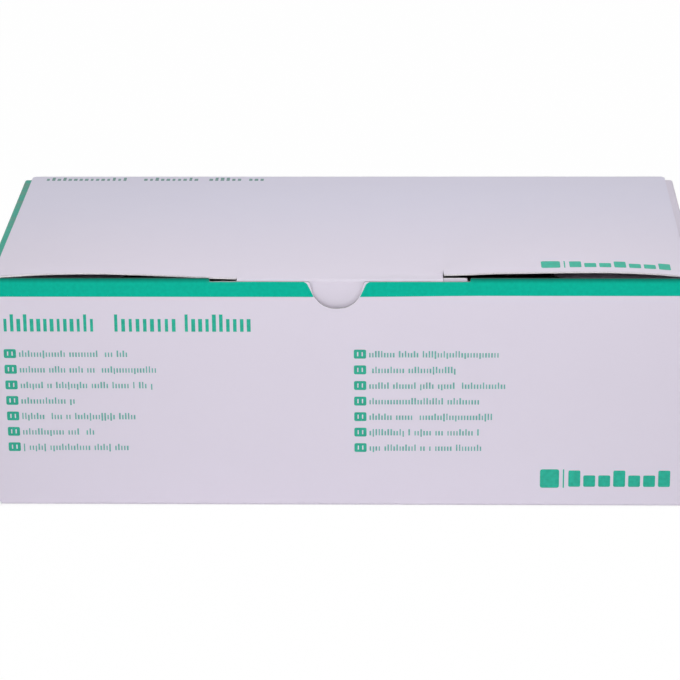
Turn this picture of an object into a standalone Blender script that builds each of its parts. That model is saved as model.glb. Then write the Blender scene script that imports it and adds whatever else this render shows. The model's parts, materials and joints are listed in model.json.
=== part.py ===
"""Folding carton of coated board with a hinged tuck lid, shown closed.

The carton is one die-cut sheet. Its walls, base flaps and dust flaps are drawn as flat panels and folded
along creases. Its lid is drawn as a flat blank, then bent over the front crease into the tuck flap.
Frame: metres, +Z up, +X along the carton, the front wall faces -Y, the origin is under the middle.
"""

from math import acos, asin, ceil, cos, pi, sin, sqrt, tan

import bmesh
import bpy
from mathutils import Matrix, Vector

MM = 0.001

# Overall size, outside of the board
LENGTH = 236 * MM
DEPTH = 112 * MM
HEIGHT = 81 * MM

# Board and creases
BOARD = 0.6 * MM
BEND_RADIUS = 0.7 * MM
GLUE_LINE = 0.1 * MM
CREASE_RELIEF = 1.2 * MM

# Front wall: its rim rises beside a shallow recess for the lid's fold, with the thumb notch in it
RIM_RISE = 0.8 * MM
RECESS_DROP = 0.4 * MM
RECESS_WIDTH = 86 * MM
RECESS_ROUND = 0.4 * MM
NOTCH_TOP_WIDTH = 16.6 * MM
NOTCH_BOTTOM_WIDTH = 11.6 * MM
NOTCH_DEPTH = 9.2 * MM
NOTCH_ROUND = 4.2 * MM
NOTCH_SHOULDER = 0.9 * MM
NOTCH_OFFSET = -1.0 * MM

# Side seam
SEAM_WIDTH = 14 * MM
SEAM_TAPER = 5 * MM
SEAM_STEP = 1.0 * MM
SEAM_CUT_BACK = 0.3 * MM

# Dust flaps under the lid
DUST_LENGTH = 48 * MM
DUST_CORNER = 9 * MM
DUST_STEP = 4 * MM

# Base flaps
BASE_INNER_DEPTH = 84 * MM
BASE_END_LENGTH = 46 * MM
BASE_OUTER_MARGIN = 0.8 * MM
BASE_TAPER = 2.5 * MM
BASE_CORNER = 5 * MM

# Lid panel
LID_END_MARGIN = 3.0 * MM
LID_CHAMFER = 1.5 * MM
LID_CHAMFER_RUN = 1.0 * MM
LID_CORNER = 1.2 * MM
HINGE_CREASE = 0.35 * MM
LEFT_LIFT = 2.3 * MM
RIGHT_LIFT = 2.4 * MM
LIFT_PEAK_PLACE = 0.6
LIFT_FALL = 0.7

# Tuck flap
JOINED_CREASE = 68 * MM
SLIT_WIDTH = 0.5 * MM
SHOULDER_REACH = 8 * MM
LEFT_SHOULDER_RISE = 0.7 * MM
RIGHT_SHOULDER_RISE = 1.8 * MM
SHOULDER_DROP = 6 * MM
TUCK_DEPTH = 18 * MM
TUCK_END_MARGIN = 4 * MM
TUCK_CORNER = 8 * MM

# Clearances
LID_GAP = 0.3 * MM
TUCK_CLEARANCE = 0.4 * MM
DUST_CLEARANCE = 1.6 * MM

# Fineness of the facets
BEND_STEPS = 4
ROUND_STEPS = 6
LID_CELL = 9 * MM
MERGE_DISTANCE = 0.001 * MM

# Levels of the sheet's middle
HALF_BOARD = BOARD / 2
LAYER = BOARD + GLUE_LINE
CORNER_SIZE = HALF_BOARD + BEND_RADIUS
LID_LEVEL = HEIGHT - HALF_BOARD
DUST_LEVEL = LID_LEVEL - BOARD - LID_GAP
FRONT_RIM = HEIGHT + RIM_RISE
RECESS_RIM = HEIGHT - RECESS_DROP
BACK_RIM = HEIGHT - BOARD - LID_GAP
CORNER_TOP = DUST_LEVEL - BEND_RADIUS
CORNER_FOOT = CORNER_SIZE

# Arc of the tuck flap about the hinge
TUCK_RADIUS = DEPTH - BOARD - TUCK_CLEARANCE - HALF_BOARD

WHITE_BOARD = (0.72, 0.70, 0.76, 1.0)


def clear_scene():
    """Remove every object that the open file holds."""
    for item in list(bpy.data.objects):
        bpy.data.objects.remove(item, do_unlink=True)


def board_material(name, roughness):
    """Return a Principled material for coated white board."""
    material = bpy.data.materials.new(name)
    material.use_nodes = True
    shader = material.node_tree.nodes["Principled BSDF"]
    shader.inputs["Base Color"].default_value = WHITE_BOARD
    shader.inputs["Roughness"].default_value = roughness
    shader.inputs["Metallic"].default_value = 0.0
    return material


def smooth_step(value):
    """Return a soft ramp from 0 to 1."""
    held = min(max(value, 0.0), 1.0)
    return held * held * (3.0 - 2.0 * held)


def rounded(corners):
    """Return an outline from (x, y, radius) corners, each rounded by an arc of that radius."""
    points = []
    count = len(corners)
    for index, (x, y, radius) in enumerate(corners):
        here = Vector((x, y))
        if radius <= 0.0:
            points.append(here)
            continue
        before = (Vector(corners[index - 1][:2]) - here).normalized()
        after = (Vector(corners[(index + 1) % count][:2]) - here).normalized()
        between = acos(max(-1.0, min(1.0, before.dot(after))))
        centre = here + (before + after).normalized() * (radius / sin(between / 2))
        start = here + before * (radius / tan(between / 2)) - centre
        turn = pi - between
        if before.cross(after) > 0.0:
            turn = -turn
        for step in range(ROUND_STEPS + 1):
            angle = turn * step / ROUND_STEPS
            points.append(centre + Matrix.Rotation(angle, 2) @ start)
    return points


class Panel:
    """A flat stretch of the sheet: x runs along its crease, y away from it, normal to the outside."""

    def __init__(self, origin, along, away):
        self.origin = Vector(origin)
        self.along = Vector(along)
        self.away = Vector(away)
        self.normal = self.along.cross(self.away)

    def point(self, x, y):
        """Return the place in space of a point of the panel."""
        return self.origin + self.along * x + self.away * y


class Sheet:
    """One sheet of board, kept as its middle surface until it gets its thickness."""

    def __init__(self):
        self.mesh = bmesh.new()

    def face(self, points):
        """Add one face through the points."""
        self.mesh.faces.new([self.mesh.verts.new(point) for point in points])

    def fill(self, panel, outline):
        """Add the flat face that an outline cuts from a panel."""
        self.face([panel.point(x, y) for x, y in outline])

    def bend(self, origin, out, normal, ends):
        """Add a quarter bend whose edges run between two heights or places given by ends."""
        rows = []
        for step in range(BEND_STEPS + 1):
            angle = pi / 2 * step / BEND_STEPS
            reach = out * (BEND_RADIUS * sin(angle)) - normal * (BEND_RADIUS * (1 - cos(angle)))
            rows.append([origin + reach + end for end in ends])
        for low, high in zip(rows, rows[1:]):
            self.face([low[0], low[1], high[1], high[0]])
        return rows[-1]

    def flap(self, panel, start, end):
        """Fold a flap in along the edge from start to end, and return the flap's own panel."""
        first = panel.point(*start)
        last = panel.point(*end)
        edge = (last - first).normalized()
        out = edge.cross(panel.normal)
        far = self.bend(last, out, panel.normal, [Vector((0, 0, 0)), first - last])
        return Panel(far[0], -edge, -panel.normal)

    def finish(self, name, material, place):
        """Give the sheet its thickness and return it as an object that turns about its place."""
        bmesh.ops.remove_doubles(self.mesh, verts=self.mesh.verts, dist=MERGE_DISTANCE)
        bmesh.ops.recalc_face_normals(self.mesh, faces=self.mesh.faces)
        data = bpy.data.meshes.new(name)
        self.mesh.to_mesh(data)
        self.mesh.free()
        data.materials.append(material)
        item = bpy.data.objects.new(name, data)
        bpy.context.scene.collection.objects.link(item)
        item.location = place
        solidify = item.modifiers.new("board", "SOLIDIFY")
        solidify.thickness = BOARD
        solidify.offset = 0.0
        solidify.use_even_offset = True
        return item


class Walk:
    """A walk round the carton seen from above: straight stretches are walls, turns are corner creases."""

    def __init__(self, sheet, x, y, heading):
        self.sheet = sheet
        self.place = Vector((x, y, 0.0))
        self.heading = Vector(heading)

    def straight(self, length):
        """Walk along one wall and return its panel, whose y is the height above the ground."""
        wall = Panel(self.place, self.heading, (0, 0, 1))
        self.place = self.place + self.heading * length
        return wall

    def turn(self):
        """Turn a quarter to the left along a corner crease."""
        out = self.heading
        normal = out.cross(Vector((0, 0, 1)))
        foot = Vector((0, 0, CORNER_FOOT))
        top = Vector((0, 0, CORNER_TOP))
        far = self.sheet.bend(self.place, out, normal, [foot, top])
        self.place = Vector((far[0].x, far[0].y, 0.0))
        self.heading = -normal


def wall_outline(length, crease_length, foot, rim, rim_cut=()):
    """Return a wall's outline, stepped clear of the corner creases at both ends of its own creases."""
    near = CREASE_RELIEF
    far = crease_length - CREASE_RELIEF
    corners = [(0, CORNER_FOOT), (near, CORNER_FOOT), (near, foot), (far, foot), (far, CORNER_FOOT)]
    corners += [(length, CORNER_FOOT), (length, CORNER_TOP), (far, CORNER_TOP), (far, rim)]
    corners += list(rim_cut)
    corners += [(near, rim), (near, CORNER_TOP), (0, CORNER_TOP)]
    outline = []
    for point in corners:
        if not outline or point != outline[-1]:
            outline.append(point)
    return outline


def base_flap(sheet, wall, length, foot, reach):
    """Fold a base flap in from the foot of a wall."""
    flap = sheet.flap(wall, (CREASE_RELIEF, foot), (length - CREASE_RELIEF, foot))
    width = length - 2 * CREASE_RELIEF
    sheet.fill(flap, rounded([
        (0, 0, 0),
        (width, 0, 0),
        (width - BASE_TAPER, reach, BASE_CORNER),
        (BASE_TAPER, reach, BASE_CORNER),
    ]))


def dust_flap(sheet, wall, length, front_at_start):
    """Fold a dust flap in from the top of an end wall, stepped back at the front for the tuck flap."""
    flap = sheet.flap(wall, (length - CREASE_RELIEF, CORNER_TOP), (CREASE_RELIEF, CORNER_TOP))
    width = length - 2 * CREASE_RELIEF
    reach = DUST_LENGTH - CORNER_SIZE
    front_edge = 2 * BOARD + TUCK_CLEARANCE + DUST_CLEARANCE - CORNER_SIZE - CREASE_RELIEF
    corners = [
        (0, 0, 0),
        (width, 0, 0),
        (width, reach, DUST_CORNER),
        (front_edge, reach, DUST_CORNER),
        (front_edge, DUST_STEP, 0),
        (0, DUST_STEP - front_edge, 0),
    ]
    if not front_at_start:
        corners = [(width - x, y, radius) for x, y, radius in reversed(corners)]
    sheet.fill(flap, rounded(corners))


def rim_cut_outline(length):
    """Return the points of the recess and the thumb notch, from the right of the front rim to the left."""
    middle = length / 2 + NOTCH_OFFSET
    top = NOTCH_TOP_WIDTH / 2
    bottom = NOTCH_BOTTOM_WIDTH / 2
    floor = RECESS_RIM - NOTCH_DEPTH
    recess_start = (length - RECESS_WIDTH) / 2
    recess_end = recess_start + RECESS_WIDTH
    points = rounded([
        (length, FRONT_RIM, 0),
        (recess_end, FRONT_RIM, RECESS_ROUND),
        (recess_end, RECESS_RIM, RECESS_ROUND),
        (middle + top, RECESS_RIM, NOTCH_SHOULDER),
        (middle + bottom, floor, NOTCH_ROUND),
        (middle - bottom, floor, NOTCH_ROUND),
        (middle - top, RECESS_RIM, NOTCH_SHOULDER),
        (recess_start, RECESS_RIM, RECESS_ROUND),
        (recess_start, FRONT_RIM, RECESS_ROUND),
        (0, FRONT_RIM, 0),
    ])
    return [(point.x, point.y) for point in points[1:-1]]


def build_carton():
    """Walk round the carton from the seam flap to the right end wall, and fold its flaps in."""
    sheet = Sheet()
    seam_x = LENGTH / 2 - HALF_BOARD - LAYER
    back_length = LENGTH - LAYER - 2 * CORNER_SIZE
    end_length = DEPTH - 2 * CORNER_SIZE
    front_length = LENGTH - 2 * CORNER_SIZE
    open_end_length = DEPTH - CORNER_SIZE - SEAM_CUT_BACK
    back_foot = CORNER_FOOT + LAYER
    end_foot = back_foot + LAYER
    seam_foot = end_foot + LAYER

    walk = Walk(sheet, seam_x, DEPTH / 2 - CORNER_SIZE - SEAM_WIDTH, (0, 1, 0))
    seam = walk.straight(SEAM_WIDTH)
    walk.turn()
    back = walk.straight(back_length)
    walk.turn()
    left = walk.straight(end_length)
    walk.turn()
    front = walk.straight(front_length)
    walk.turn()
    right = walk.straight(open_end_length)

    sheet.fill(seam, [
        (0, seam_foot + SEAM_TAPER),
        (SEAM_WIDTH - SEAM_STEP, seam_foot),
        (SEAM_WIDTH, CORNER_FOOT),
        (SEAM_WIDTH, CORNER_TOP),
        (0, CORNER_TOP - SEAM_TAPER),
    ])
    rim_cut = rim_cut_outline(front_length)
    sheet.fill(back, wall_outline(back_length, back_length, back_foot, BACK_RIM))
    sheet.fill(left, wall_outline(end_length, end_length, end_foot, CORNER_TOP))
    sheet.fill(front, wall_outline(front_length, front_length, CORNER_FOOT, FRONT_RIM, rim_cut))
    sheet.fill(right, wall_outline(open_end_length, end_length, end_foot, CORNER_TOP))

    base_flap(sheet, front, front_length, CORNER_FOOT, DEPTH - CORNER_SIZE - BASE_OUTER_MARGIN)
    base_flap(sheet, back, back_length, back_foot, BASE_INNER_DEPTH - CORNER_SIZE)
    base_flap(sheet, left, end_length, end_foot, BASE_END_LENGTH - CORNER_SIZE)
    base_flap(sheet, right, end_length, end_foot, BASE_END_LENGTH - CORNER_SIZE)
    dust_flap(sheet, left, end_length, False)
    dust_flap(sheet, right, end_length, True)
    return sheet.finish("carton_body", board_material("carton_board", 0.45), (0, 0, 0))


class LidBlank:
    """The lid's flat blank: x across the carton, along from the hinge crease to the tuck's lower edge."""

    def __init__(self):
        bend_reach = TUCK_RADIUS - BEND_RADIUS
        self.bend_span = sqrt(bend_reach ** 2 - BEND_RADIUS ** 2)
        self.start_angle = asin(BEND_RADIUS / bend_reach)
        self.fold = self.bend_span - HINGE_CREASE
        self.tuck_start = self.fold + BEND_RADIUS * (pi / 2 - self.start_angle)
        self.tuck_end = self.tuck_start + TUCK_DEPTH - BEND_RADIUS - HALF_BOARD
        self.half_lid = LENGTH / 2 - LID_END_MARGIN
        self.half_joined = JOINED_CREASE / 2
        self.half_shoulder = self.half_joined + SHOULDER_REACH

    def shoulder_top(self, x):
        """Return how far along the blank the tuck flap's shoulder starts, left or right."""
        return self.tuck_start - (LEFT_SHOULDER_RISE if x < 0 else RIGHT_SHOULDER_RISE)

    def side(self, sign):
        """Return the corners of the blank's left or right side, from the hinge to the tuck's edge."""
        half_tuck = self.half_lid - TUCK_END_MARGIN
        shoulder_foot = self.tuck_start + SHOULDER_DROP
        shoulder_top = self.shoulder_top(sign)
        wing_edge = shoulder_top - SLIT_WIDTH
        slot = self.half_joined + SLIT_WIDTH
        corners = [
            (self.half_lid - LID_CHAMFER_RUN, 0, 0),
            (self.half_lid, LID_CHAMFER, 0),
            (self.half_lid, wing_edge, LID_CORNER),
            (self.half_joined, wing_edge, 0),
            (self.half_joined, self.tuck_start, 0),
            (slot, self.tuck_start, 0),
            (slot, shoulder_top, 0),
            (self.half_shoulder, shoulder_top, 0),
            (self.half_shoulder, shoulder_foot, 0),
            (half_tuck, shoulder_foot, 0),
            (half_tuck, self.tuck_end, TUCK_CORNER),
        ]
        return [(sign * x, along, radius) for x, along, radius in corners]

    def outline(self):
        """Return the blank's outline: panel, slits, shoulders and tuck flap."""
        return rounded(self.side(1) + self.side(-1)[::-1])

    def scores(self):
        """Return the places of the lines that let the blank bend, across and along."""
        across = spread(-self.half_lid, self.half_lid, ceil(2 * self.half_lid / LID_CELL))
        along = spread(0, self.fold, ceil(self.fold / LID_CELL))
        along += spread(self.fold, self.tuck_start, BEND_STEPS)
        along += spread(self.tuck_start, self.tuck_end, ceil(TUCK_DEPTH / LID_CELL))
        return across, along + [self.fold, self.tuck_start]

    def lift(self, x, along):
        """Return how far the free wings of the lid stand up beside the joined crease."""
        place = (abs(x) - self.half_joined) / (self.half_lid - self.half_joined)
        peak = LEFT_LIFT if x < 0 else RIGHT_LIFT
        rise = sin(pi / 2 * min(max(place / LIFT_PEAK_PLACE, 0.0), 1.0))
        past_peak = max((place - LIFT_PEAK_PLACE) / (1 - LIFT_PEAK_PLACE), 0.0)
        return peak * rise * (1 - LIFT_FALL * past_peak ** 2) * smooth_step(along / self.fold)

    def folded(self, x, along):
        """Return the place in space, from the hinge, of a point of the flat blank."""
        out = abs(x) - SLIT_WIDTH / 2
        standing = along > self.shoulder_top(x) - SLIT_WIDTH / 2
        on_shoulder = standing and self.half_joined < out < self.half_shoulder
        if along <= self.fold and not on_shoulder:
            return Vector((x, -HINGE_CREASE - along, self.lift(x, along)))
        if along < self.tuck_start and not on_shoulder:
            angle = (along - self.fold) / BEND_RADIUS
            return Vector((x, -self.bend_span - BEND_RADIUS * sin(angle), BEND_RADIUS * (cos(angle) - 1)))
        angle = self.start_angle + (along - self.tuck_start) / TUCK_RADIUS
        return Vector((x, -TUCK_RADIUS * cos(angle), -TUCK_RADIUS * sin(angle)))


def spread(start, end, count):
    """Return the places that divide a span into equal cells, without its two ends."""
    return [start + (end - start) * step / count for step in range(1, count)]


def build_lid():
    """Cut the lid's blank, score it, and bend it over the front crease into the tuck flap."""
    blank = LidBlank()
    sheet = Sheet()
    sheet.face([(point.x, point.y, 0) for point in blank.outline()])
    across, along = blank.scores()
    lines = [((x, 0, 0), (1, 0, 0)) for x in across] + [((0, y, 0), (0, 1, 0)) for y in along]
    for place, direction in lines:
        whole = sheet.mesh.verts[:] + sheet.mesh.edges[:] + sheet.mesh.faces[:]
        bmesh.ops.bisect_plane(
            sheet.mesh, geom=whole, dist=MERGE_DISTANCE, plane_co=place, plane_no=direction
        )
    for vertex in sheet.mesh.verts:
        vertex.co = blank.folded(vertex.co.x, vertex.co.y)
    return sheet.finish("lid", board_material("lid_board", 0.4), (0, DEPTH / 2, LID_LEVEL))


clear_scene()
build_carton()
build_lid()
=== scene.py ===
"""Dressed scene of a closed folding carton with a hinged tuck lid.

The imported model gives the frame: where the walls stand and where the lid turns. This script makes the
coated board that shows, its print, its hinge crease, and a plain studio with a camera in front.
"""

from __future__ import annotations

import json
import logging
import math
from dataclasses import dataclass
from enum import Enum
from typing import Any, Iterable, Optional, Sequence, Union

import bmesh
import bpy
from mathutils import Matrix, Vector

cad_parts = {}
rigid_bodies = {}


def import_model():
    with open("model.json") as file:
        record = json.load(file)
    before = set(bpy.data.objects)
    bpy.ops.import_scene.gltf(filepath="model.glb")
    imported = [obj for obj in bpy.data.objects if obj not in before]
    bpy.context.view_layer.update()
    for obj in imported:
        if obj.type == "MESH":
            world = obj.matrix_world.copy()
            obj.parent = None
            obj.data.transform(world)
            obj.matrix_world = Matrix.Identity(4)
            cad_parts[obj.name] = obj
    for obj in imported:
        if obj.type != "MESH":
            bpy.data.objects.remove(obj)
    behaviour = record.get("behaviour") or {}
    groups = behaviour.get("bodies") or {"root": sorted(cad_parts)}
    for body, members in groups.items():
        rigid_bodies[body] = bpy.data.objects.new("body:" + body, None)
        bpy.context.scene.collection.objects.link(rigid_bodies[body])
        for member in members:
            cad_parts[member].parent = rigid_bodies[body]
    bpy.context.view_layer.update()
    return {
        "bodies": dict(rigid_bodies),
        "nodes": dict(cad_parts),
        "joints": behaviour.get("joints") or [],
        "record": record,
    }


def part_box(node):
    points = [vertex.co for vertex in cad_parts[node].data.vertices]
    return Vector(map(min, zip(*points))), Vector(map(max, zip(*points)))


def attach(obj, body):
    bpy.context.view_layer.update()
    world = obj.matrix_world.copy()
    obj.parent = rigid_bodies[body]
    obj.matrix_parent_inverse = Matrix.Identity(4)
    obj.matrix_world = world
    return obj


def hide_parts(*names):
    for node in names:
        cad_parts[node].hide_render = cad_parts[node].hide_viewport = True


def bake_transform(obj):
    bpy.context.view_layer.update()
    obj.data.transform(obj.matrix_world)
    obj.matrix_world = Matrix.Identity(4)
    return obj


MM = 0.001
WELD = 1e-6
MIX_FACTOR, MIX_FIRST, MIX_SECOND, MIX_RESULT = 0, 6, 7, 2
CHANCE_LOW, CHANCE_HIGH, CHANCE_SEED, CHANCE_RESULT = 2, 3, 8, 1
LOG = logging.getLogger("carton")

Colour = tuple[float, float, float]
Number = Union[int, float]
Value = Union["Field", Number]
Settings = Optional[dict[str, Any]]
Links = Optional[dict[Union[int, str], Any]]


def linear(level: int) -> float:
    """Return the linear value, from 0 to 1, of a screen's level from 0 to 255."""
    share = level / 255.0
    return share / 12.92 if share <= 0.04045 else ((share + 0.055) / 1.055) ** 2.4


def from_srgb(red: int, green: int, blue: int) -> Colour:
    """Return the linear colour that a shader takes for three screen levels from 0 to 255."""
    return linear(red), linear(green), linear(blue)


def shade(colour: Colour, factor: float) -> Colour:
    """Return a colour made lighter or darker."""
    return colour[0] * factor, colour[1] * factor, colour[2] * factor


class Side(Enum):
    """The faces that a sheet of board shows, in the order of their material slots."""

    PRINTED = 0
    REVERSE = 1
    CUT_EDGE = 2


class Zone(Enum):
    """The stretches of the lid's blank, which bend in their own way."""

    PANEL = 0
    FOLD = 1
    TUCK = 2


class Field:
    """A socket of a node tree, which Python's operators join with Math nodes."""

    def __init__(self, maker: TreeMaker, socket: bpy.types.NodeSocket) -> None:
        """Wrap an output socket that carries a number, and remember the tree that it belongs to."""
        self.maker = maker
        self.socket = socket

    def _math(self, operation: str, *values: Value) -> Field:
        """Return a Math node's result for some values."""
        return self.maker.field("ShaderNodeMath", {"operation": operation}, dict(enumerate(values)))

    def __add__(self, other: Value) -> Field:
        """Return self + other."""
        return self._math("ADD", self, other)

    def __radd__(self, other: Number) -> Field:
        """Return other + self."""
        return self._math("ADD", other, self)

    def __sub__(self, other: Value) -> Field:
        """Return self - other."""
        return self._math("SUBTRACT", self, other)

    def __rsub__(self, other: Number) -> Field:
        """Return other - self."""
        return self._math("SUBTRACT", other, self)

    def __mul__(self, other: Value) -> Field:
        """Return self * other."""
        return self._math("MULTIPLY", self, other)

    def __rmul__(self, other: Number) -> Field:
        """Return other * self."""
        return self._math("MULTIPLY", other, self)

    def __truediv__(self, other: Value) -> Field:
        """Return self / other."""
        return self._math("DIVIDE", self, other)

    def __neg__(self) -> Field:
        """Return -self."""
        return self._math("MULTIPLY", self, -1.0)

    def __abs__(self) -> Field:
        """Return the size of self without its sign."""
        return self._math("ABSOLUTE", self)

    def most(self, other: Value) -> Field:
        """Return the larger of self and other."""
        return self._math("MAXIMUM", self, other)

    def sine(self) -> Field:
        """Return the sine of self in radians."""
        return self._math("SINE", self)

    def cosine(self) -> Field:
        """Return the cosine of self in radians."""
        return self._math("COSINE", self)

    def above(self, level: Value) -> Field:
        """Return 1 where self is above a level and 0 elsewhere."""
        return self._math("GREATER_THAN", self, level)

    def ramp(self, low: Number, high: Number) -> Field:
        """Return a soft step of self.

        Args:
            low: Where the step starts, at 0.
            high: Where the step ends, at 1; it may lie below low.

        Returns:
            The step, held between 0 and 1.
        """
        if high < low:
            return 1.0 - self.ramp(high, low)
        settings = {"interpolation_type": "SMOOTHSTEP"}
        return self.maker.field("ShaderNodeMapRange", settings, {0: self, 1: low, 2: high})

    def band(self, low: Number, high: Number, soft: Number) -> Field:
        """Return 1 between two levels and 0 outside, with soft ends."""
        return self.ramp(low - soft, low + soft) * self.ramp(high + soft, high - soft)


class TreeMaker:
    """A node tree that is written as expressions."""

    def __init__(self, tree: bpy.types.NodeTree) -> None:
        """Take over the shader or geometry tree that nodes are added to."""
        self.tree = tree

    def node(self, kind: str, settings: Settings = None, links: Links = None) -> bpy.types.Node:
        """Add a node.

        Args:
            kind: The node's type.
            settings: Properties of the node, set before its sockets.
            links: Values, sockets or fields for its input sockets, by index or name.

        Returns:
            The new node.
        """
        made = self.tree.nodes.new(kind)
        for name, value in (settings or {}).items():
            setattr(made, name, value)
        for key, value in (links or {}).items():
            self.feed(made.inputs[key], value)
        return made

    def feed(self, socket: bpy.types.NodeSocket, value: Any) -> None:
        """Give an input socket a link or a plain value.

        Args:
            socket: The input socket.
            value: A field, an output socket, a number, a vector or a colour of three parts.
        """
        if isinstance(value, Field):
            value = value.socket
        if isinstance(value, bpy.types.NodeSocket):
            self.tree.links.new(value, socket)
        elif socket.type == "RGBA" and len(value) == 3:
            socket.default_value = (*value, 1.0)
        else:
            socket.default_value = value

    def field(self, kind: str, settings: Settings = None, links: Links = None, out: int = 0) -> Field:
        """Add a node, as node() does, and return its output of an index as a field."""
        return Field(self, self.node(kind, settings, links).outputs[out])

    def combine(self, x: Value, y: Value, z: Value) -> bpy.types.NodeSocket:
        """Return a vector made of three numbers or fields."""
        return self.node("ShaderNodeCombineXYZ", {}, {0: x, 1: y, 2: z}).outputs[0]

    def split(self, vector: bpy.types.NodeSocket) -> tuple[Field, ...]:
        """Return the three parts of a vector."""
        made = self.node("ShaderNodeSeparateXYZ", {}, {0: vector})
        return tuple(Field(self, part) for part in made.outputs)

    def background_rays(self) -> Field:
        """Tell the rays that show the background from those that light the carton.

        Returns:
            1 for rays that the camera sends, straight or by glass and gloss, and 0 for the rest.
        """
        path = self.node("ShaderNodeLightPath")
        names = ("Is Camera Ray", "Is Glossy Ray", "Is Transmission Ray")
        seen, glossy, through = (Field(self, path.outputs[name]) for name in names)
        return seen.most(glossy).most(through)


class Finish(TreeMaker):
    """A Principled material that is built from fields."""

    def __init__(self, name: str) -> None:
        """Start a material with one Principled shader.

        Args:
            name: The material's name.
        """
        self.material = bpy.data.materials.new(name)
        self.material.use_nodes = True
        super().__init__(self.material.node_tree)
        self.shader = self.tree.nodes["Principled BSDF"]
        self.place = self.node("ShaderNodeTexCoord").outputs["Object"]

    def mottle(self, size: float, detail: float = 2.0, stretch: Sequence[float] = (1, 1, 1)) -> Field:
        """Return a noise on the object's coordinates.

        Args:
            size: The size of the noise's patches in metres.
            detail: How many finer layers are added.
            stretch: Factors on the coordinates, for a grain.

        Returns:
            The noise, about 0.5 in the middle.
        """
        scaled = self.node("ShaderNodeVectorMath", {"operation": "MULTIPLY"}, {0: self.place, 1: stretch})
        links = {"Vector": scaled.outputs[0], "Scale": 1.0 / size, "Detail": detail}
        return self.field("ShaderNodeTexNoise", {}, links)

    def blend(self, share: Value, first: Any, second: Any, mode: str = "MIX") -> bpy.types.NodeSocket:
        """Mix two colours.

        Args:
            share: The second colour's share, from 0 to 1.
            first: The colour, or its socket, where the share is 0.
            second: The colour, or its socket, where the share is 1.
            mode: The Mix node's blend type.

        Returns:
            The socket of the mixed colour.
        """
        settings = {"data_type": "RGBA", "blend_type": mode}
        links = {MIX_FACTOR: share, MIX_FIRST: first, MIX_SECOND: second}
        return self.node("ShaderNodeMix", settings, links).outputs[MIX_RESULT]

    def tinted(self, share: Value, first: Any, factors: Colour) -> bpy.types.NodeSocket:
        """Return a colour that is multiplied by some factors as share goes from 0 to 1."""
        return self.blend(share, first, factors, "MULTIPLY")

    def relief(self, height: Field, distance: float) -> None:
        """Press a height pattern into the surface."""
        bump = self.node("ShaderNodeBump", {}, {"Height": height, "Distance": distance, "Strength": 1.0})
        self.feed(self.shader.inputs["Normal"], bump.outputs[0])

    def set(self, **values: Any) -> None:
        """Set Principled sockets, with underscores for the spaces in their names."""
        for name, value in values.items():
            self.feed(self.shader.inputs[name.replace("_", " ")], value)


@dataclass(frozen=True)
class Patches:
    """Soft patches on a surface: their size, how many finer layers their noise has, the levels of the noise
    between which they fade in, and how much of another colour they take at most."""

    size: float
    detail: float
    low: float
    high: float
    share: float = 1.0

    def on(self, finish: Finish) -> Field:
        """Return the patches' share at each place of a finish."""
        return finish.mottle(self.size, self.detail).ramp(self.low, self.high) * self.share


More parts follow.
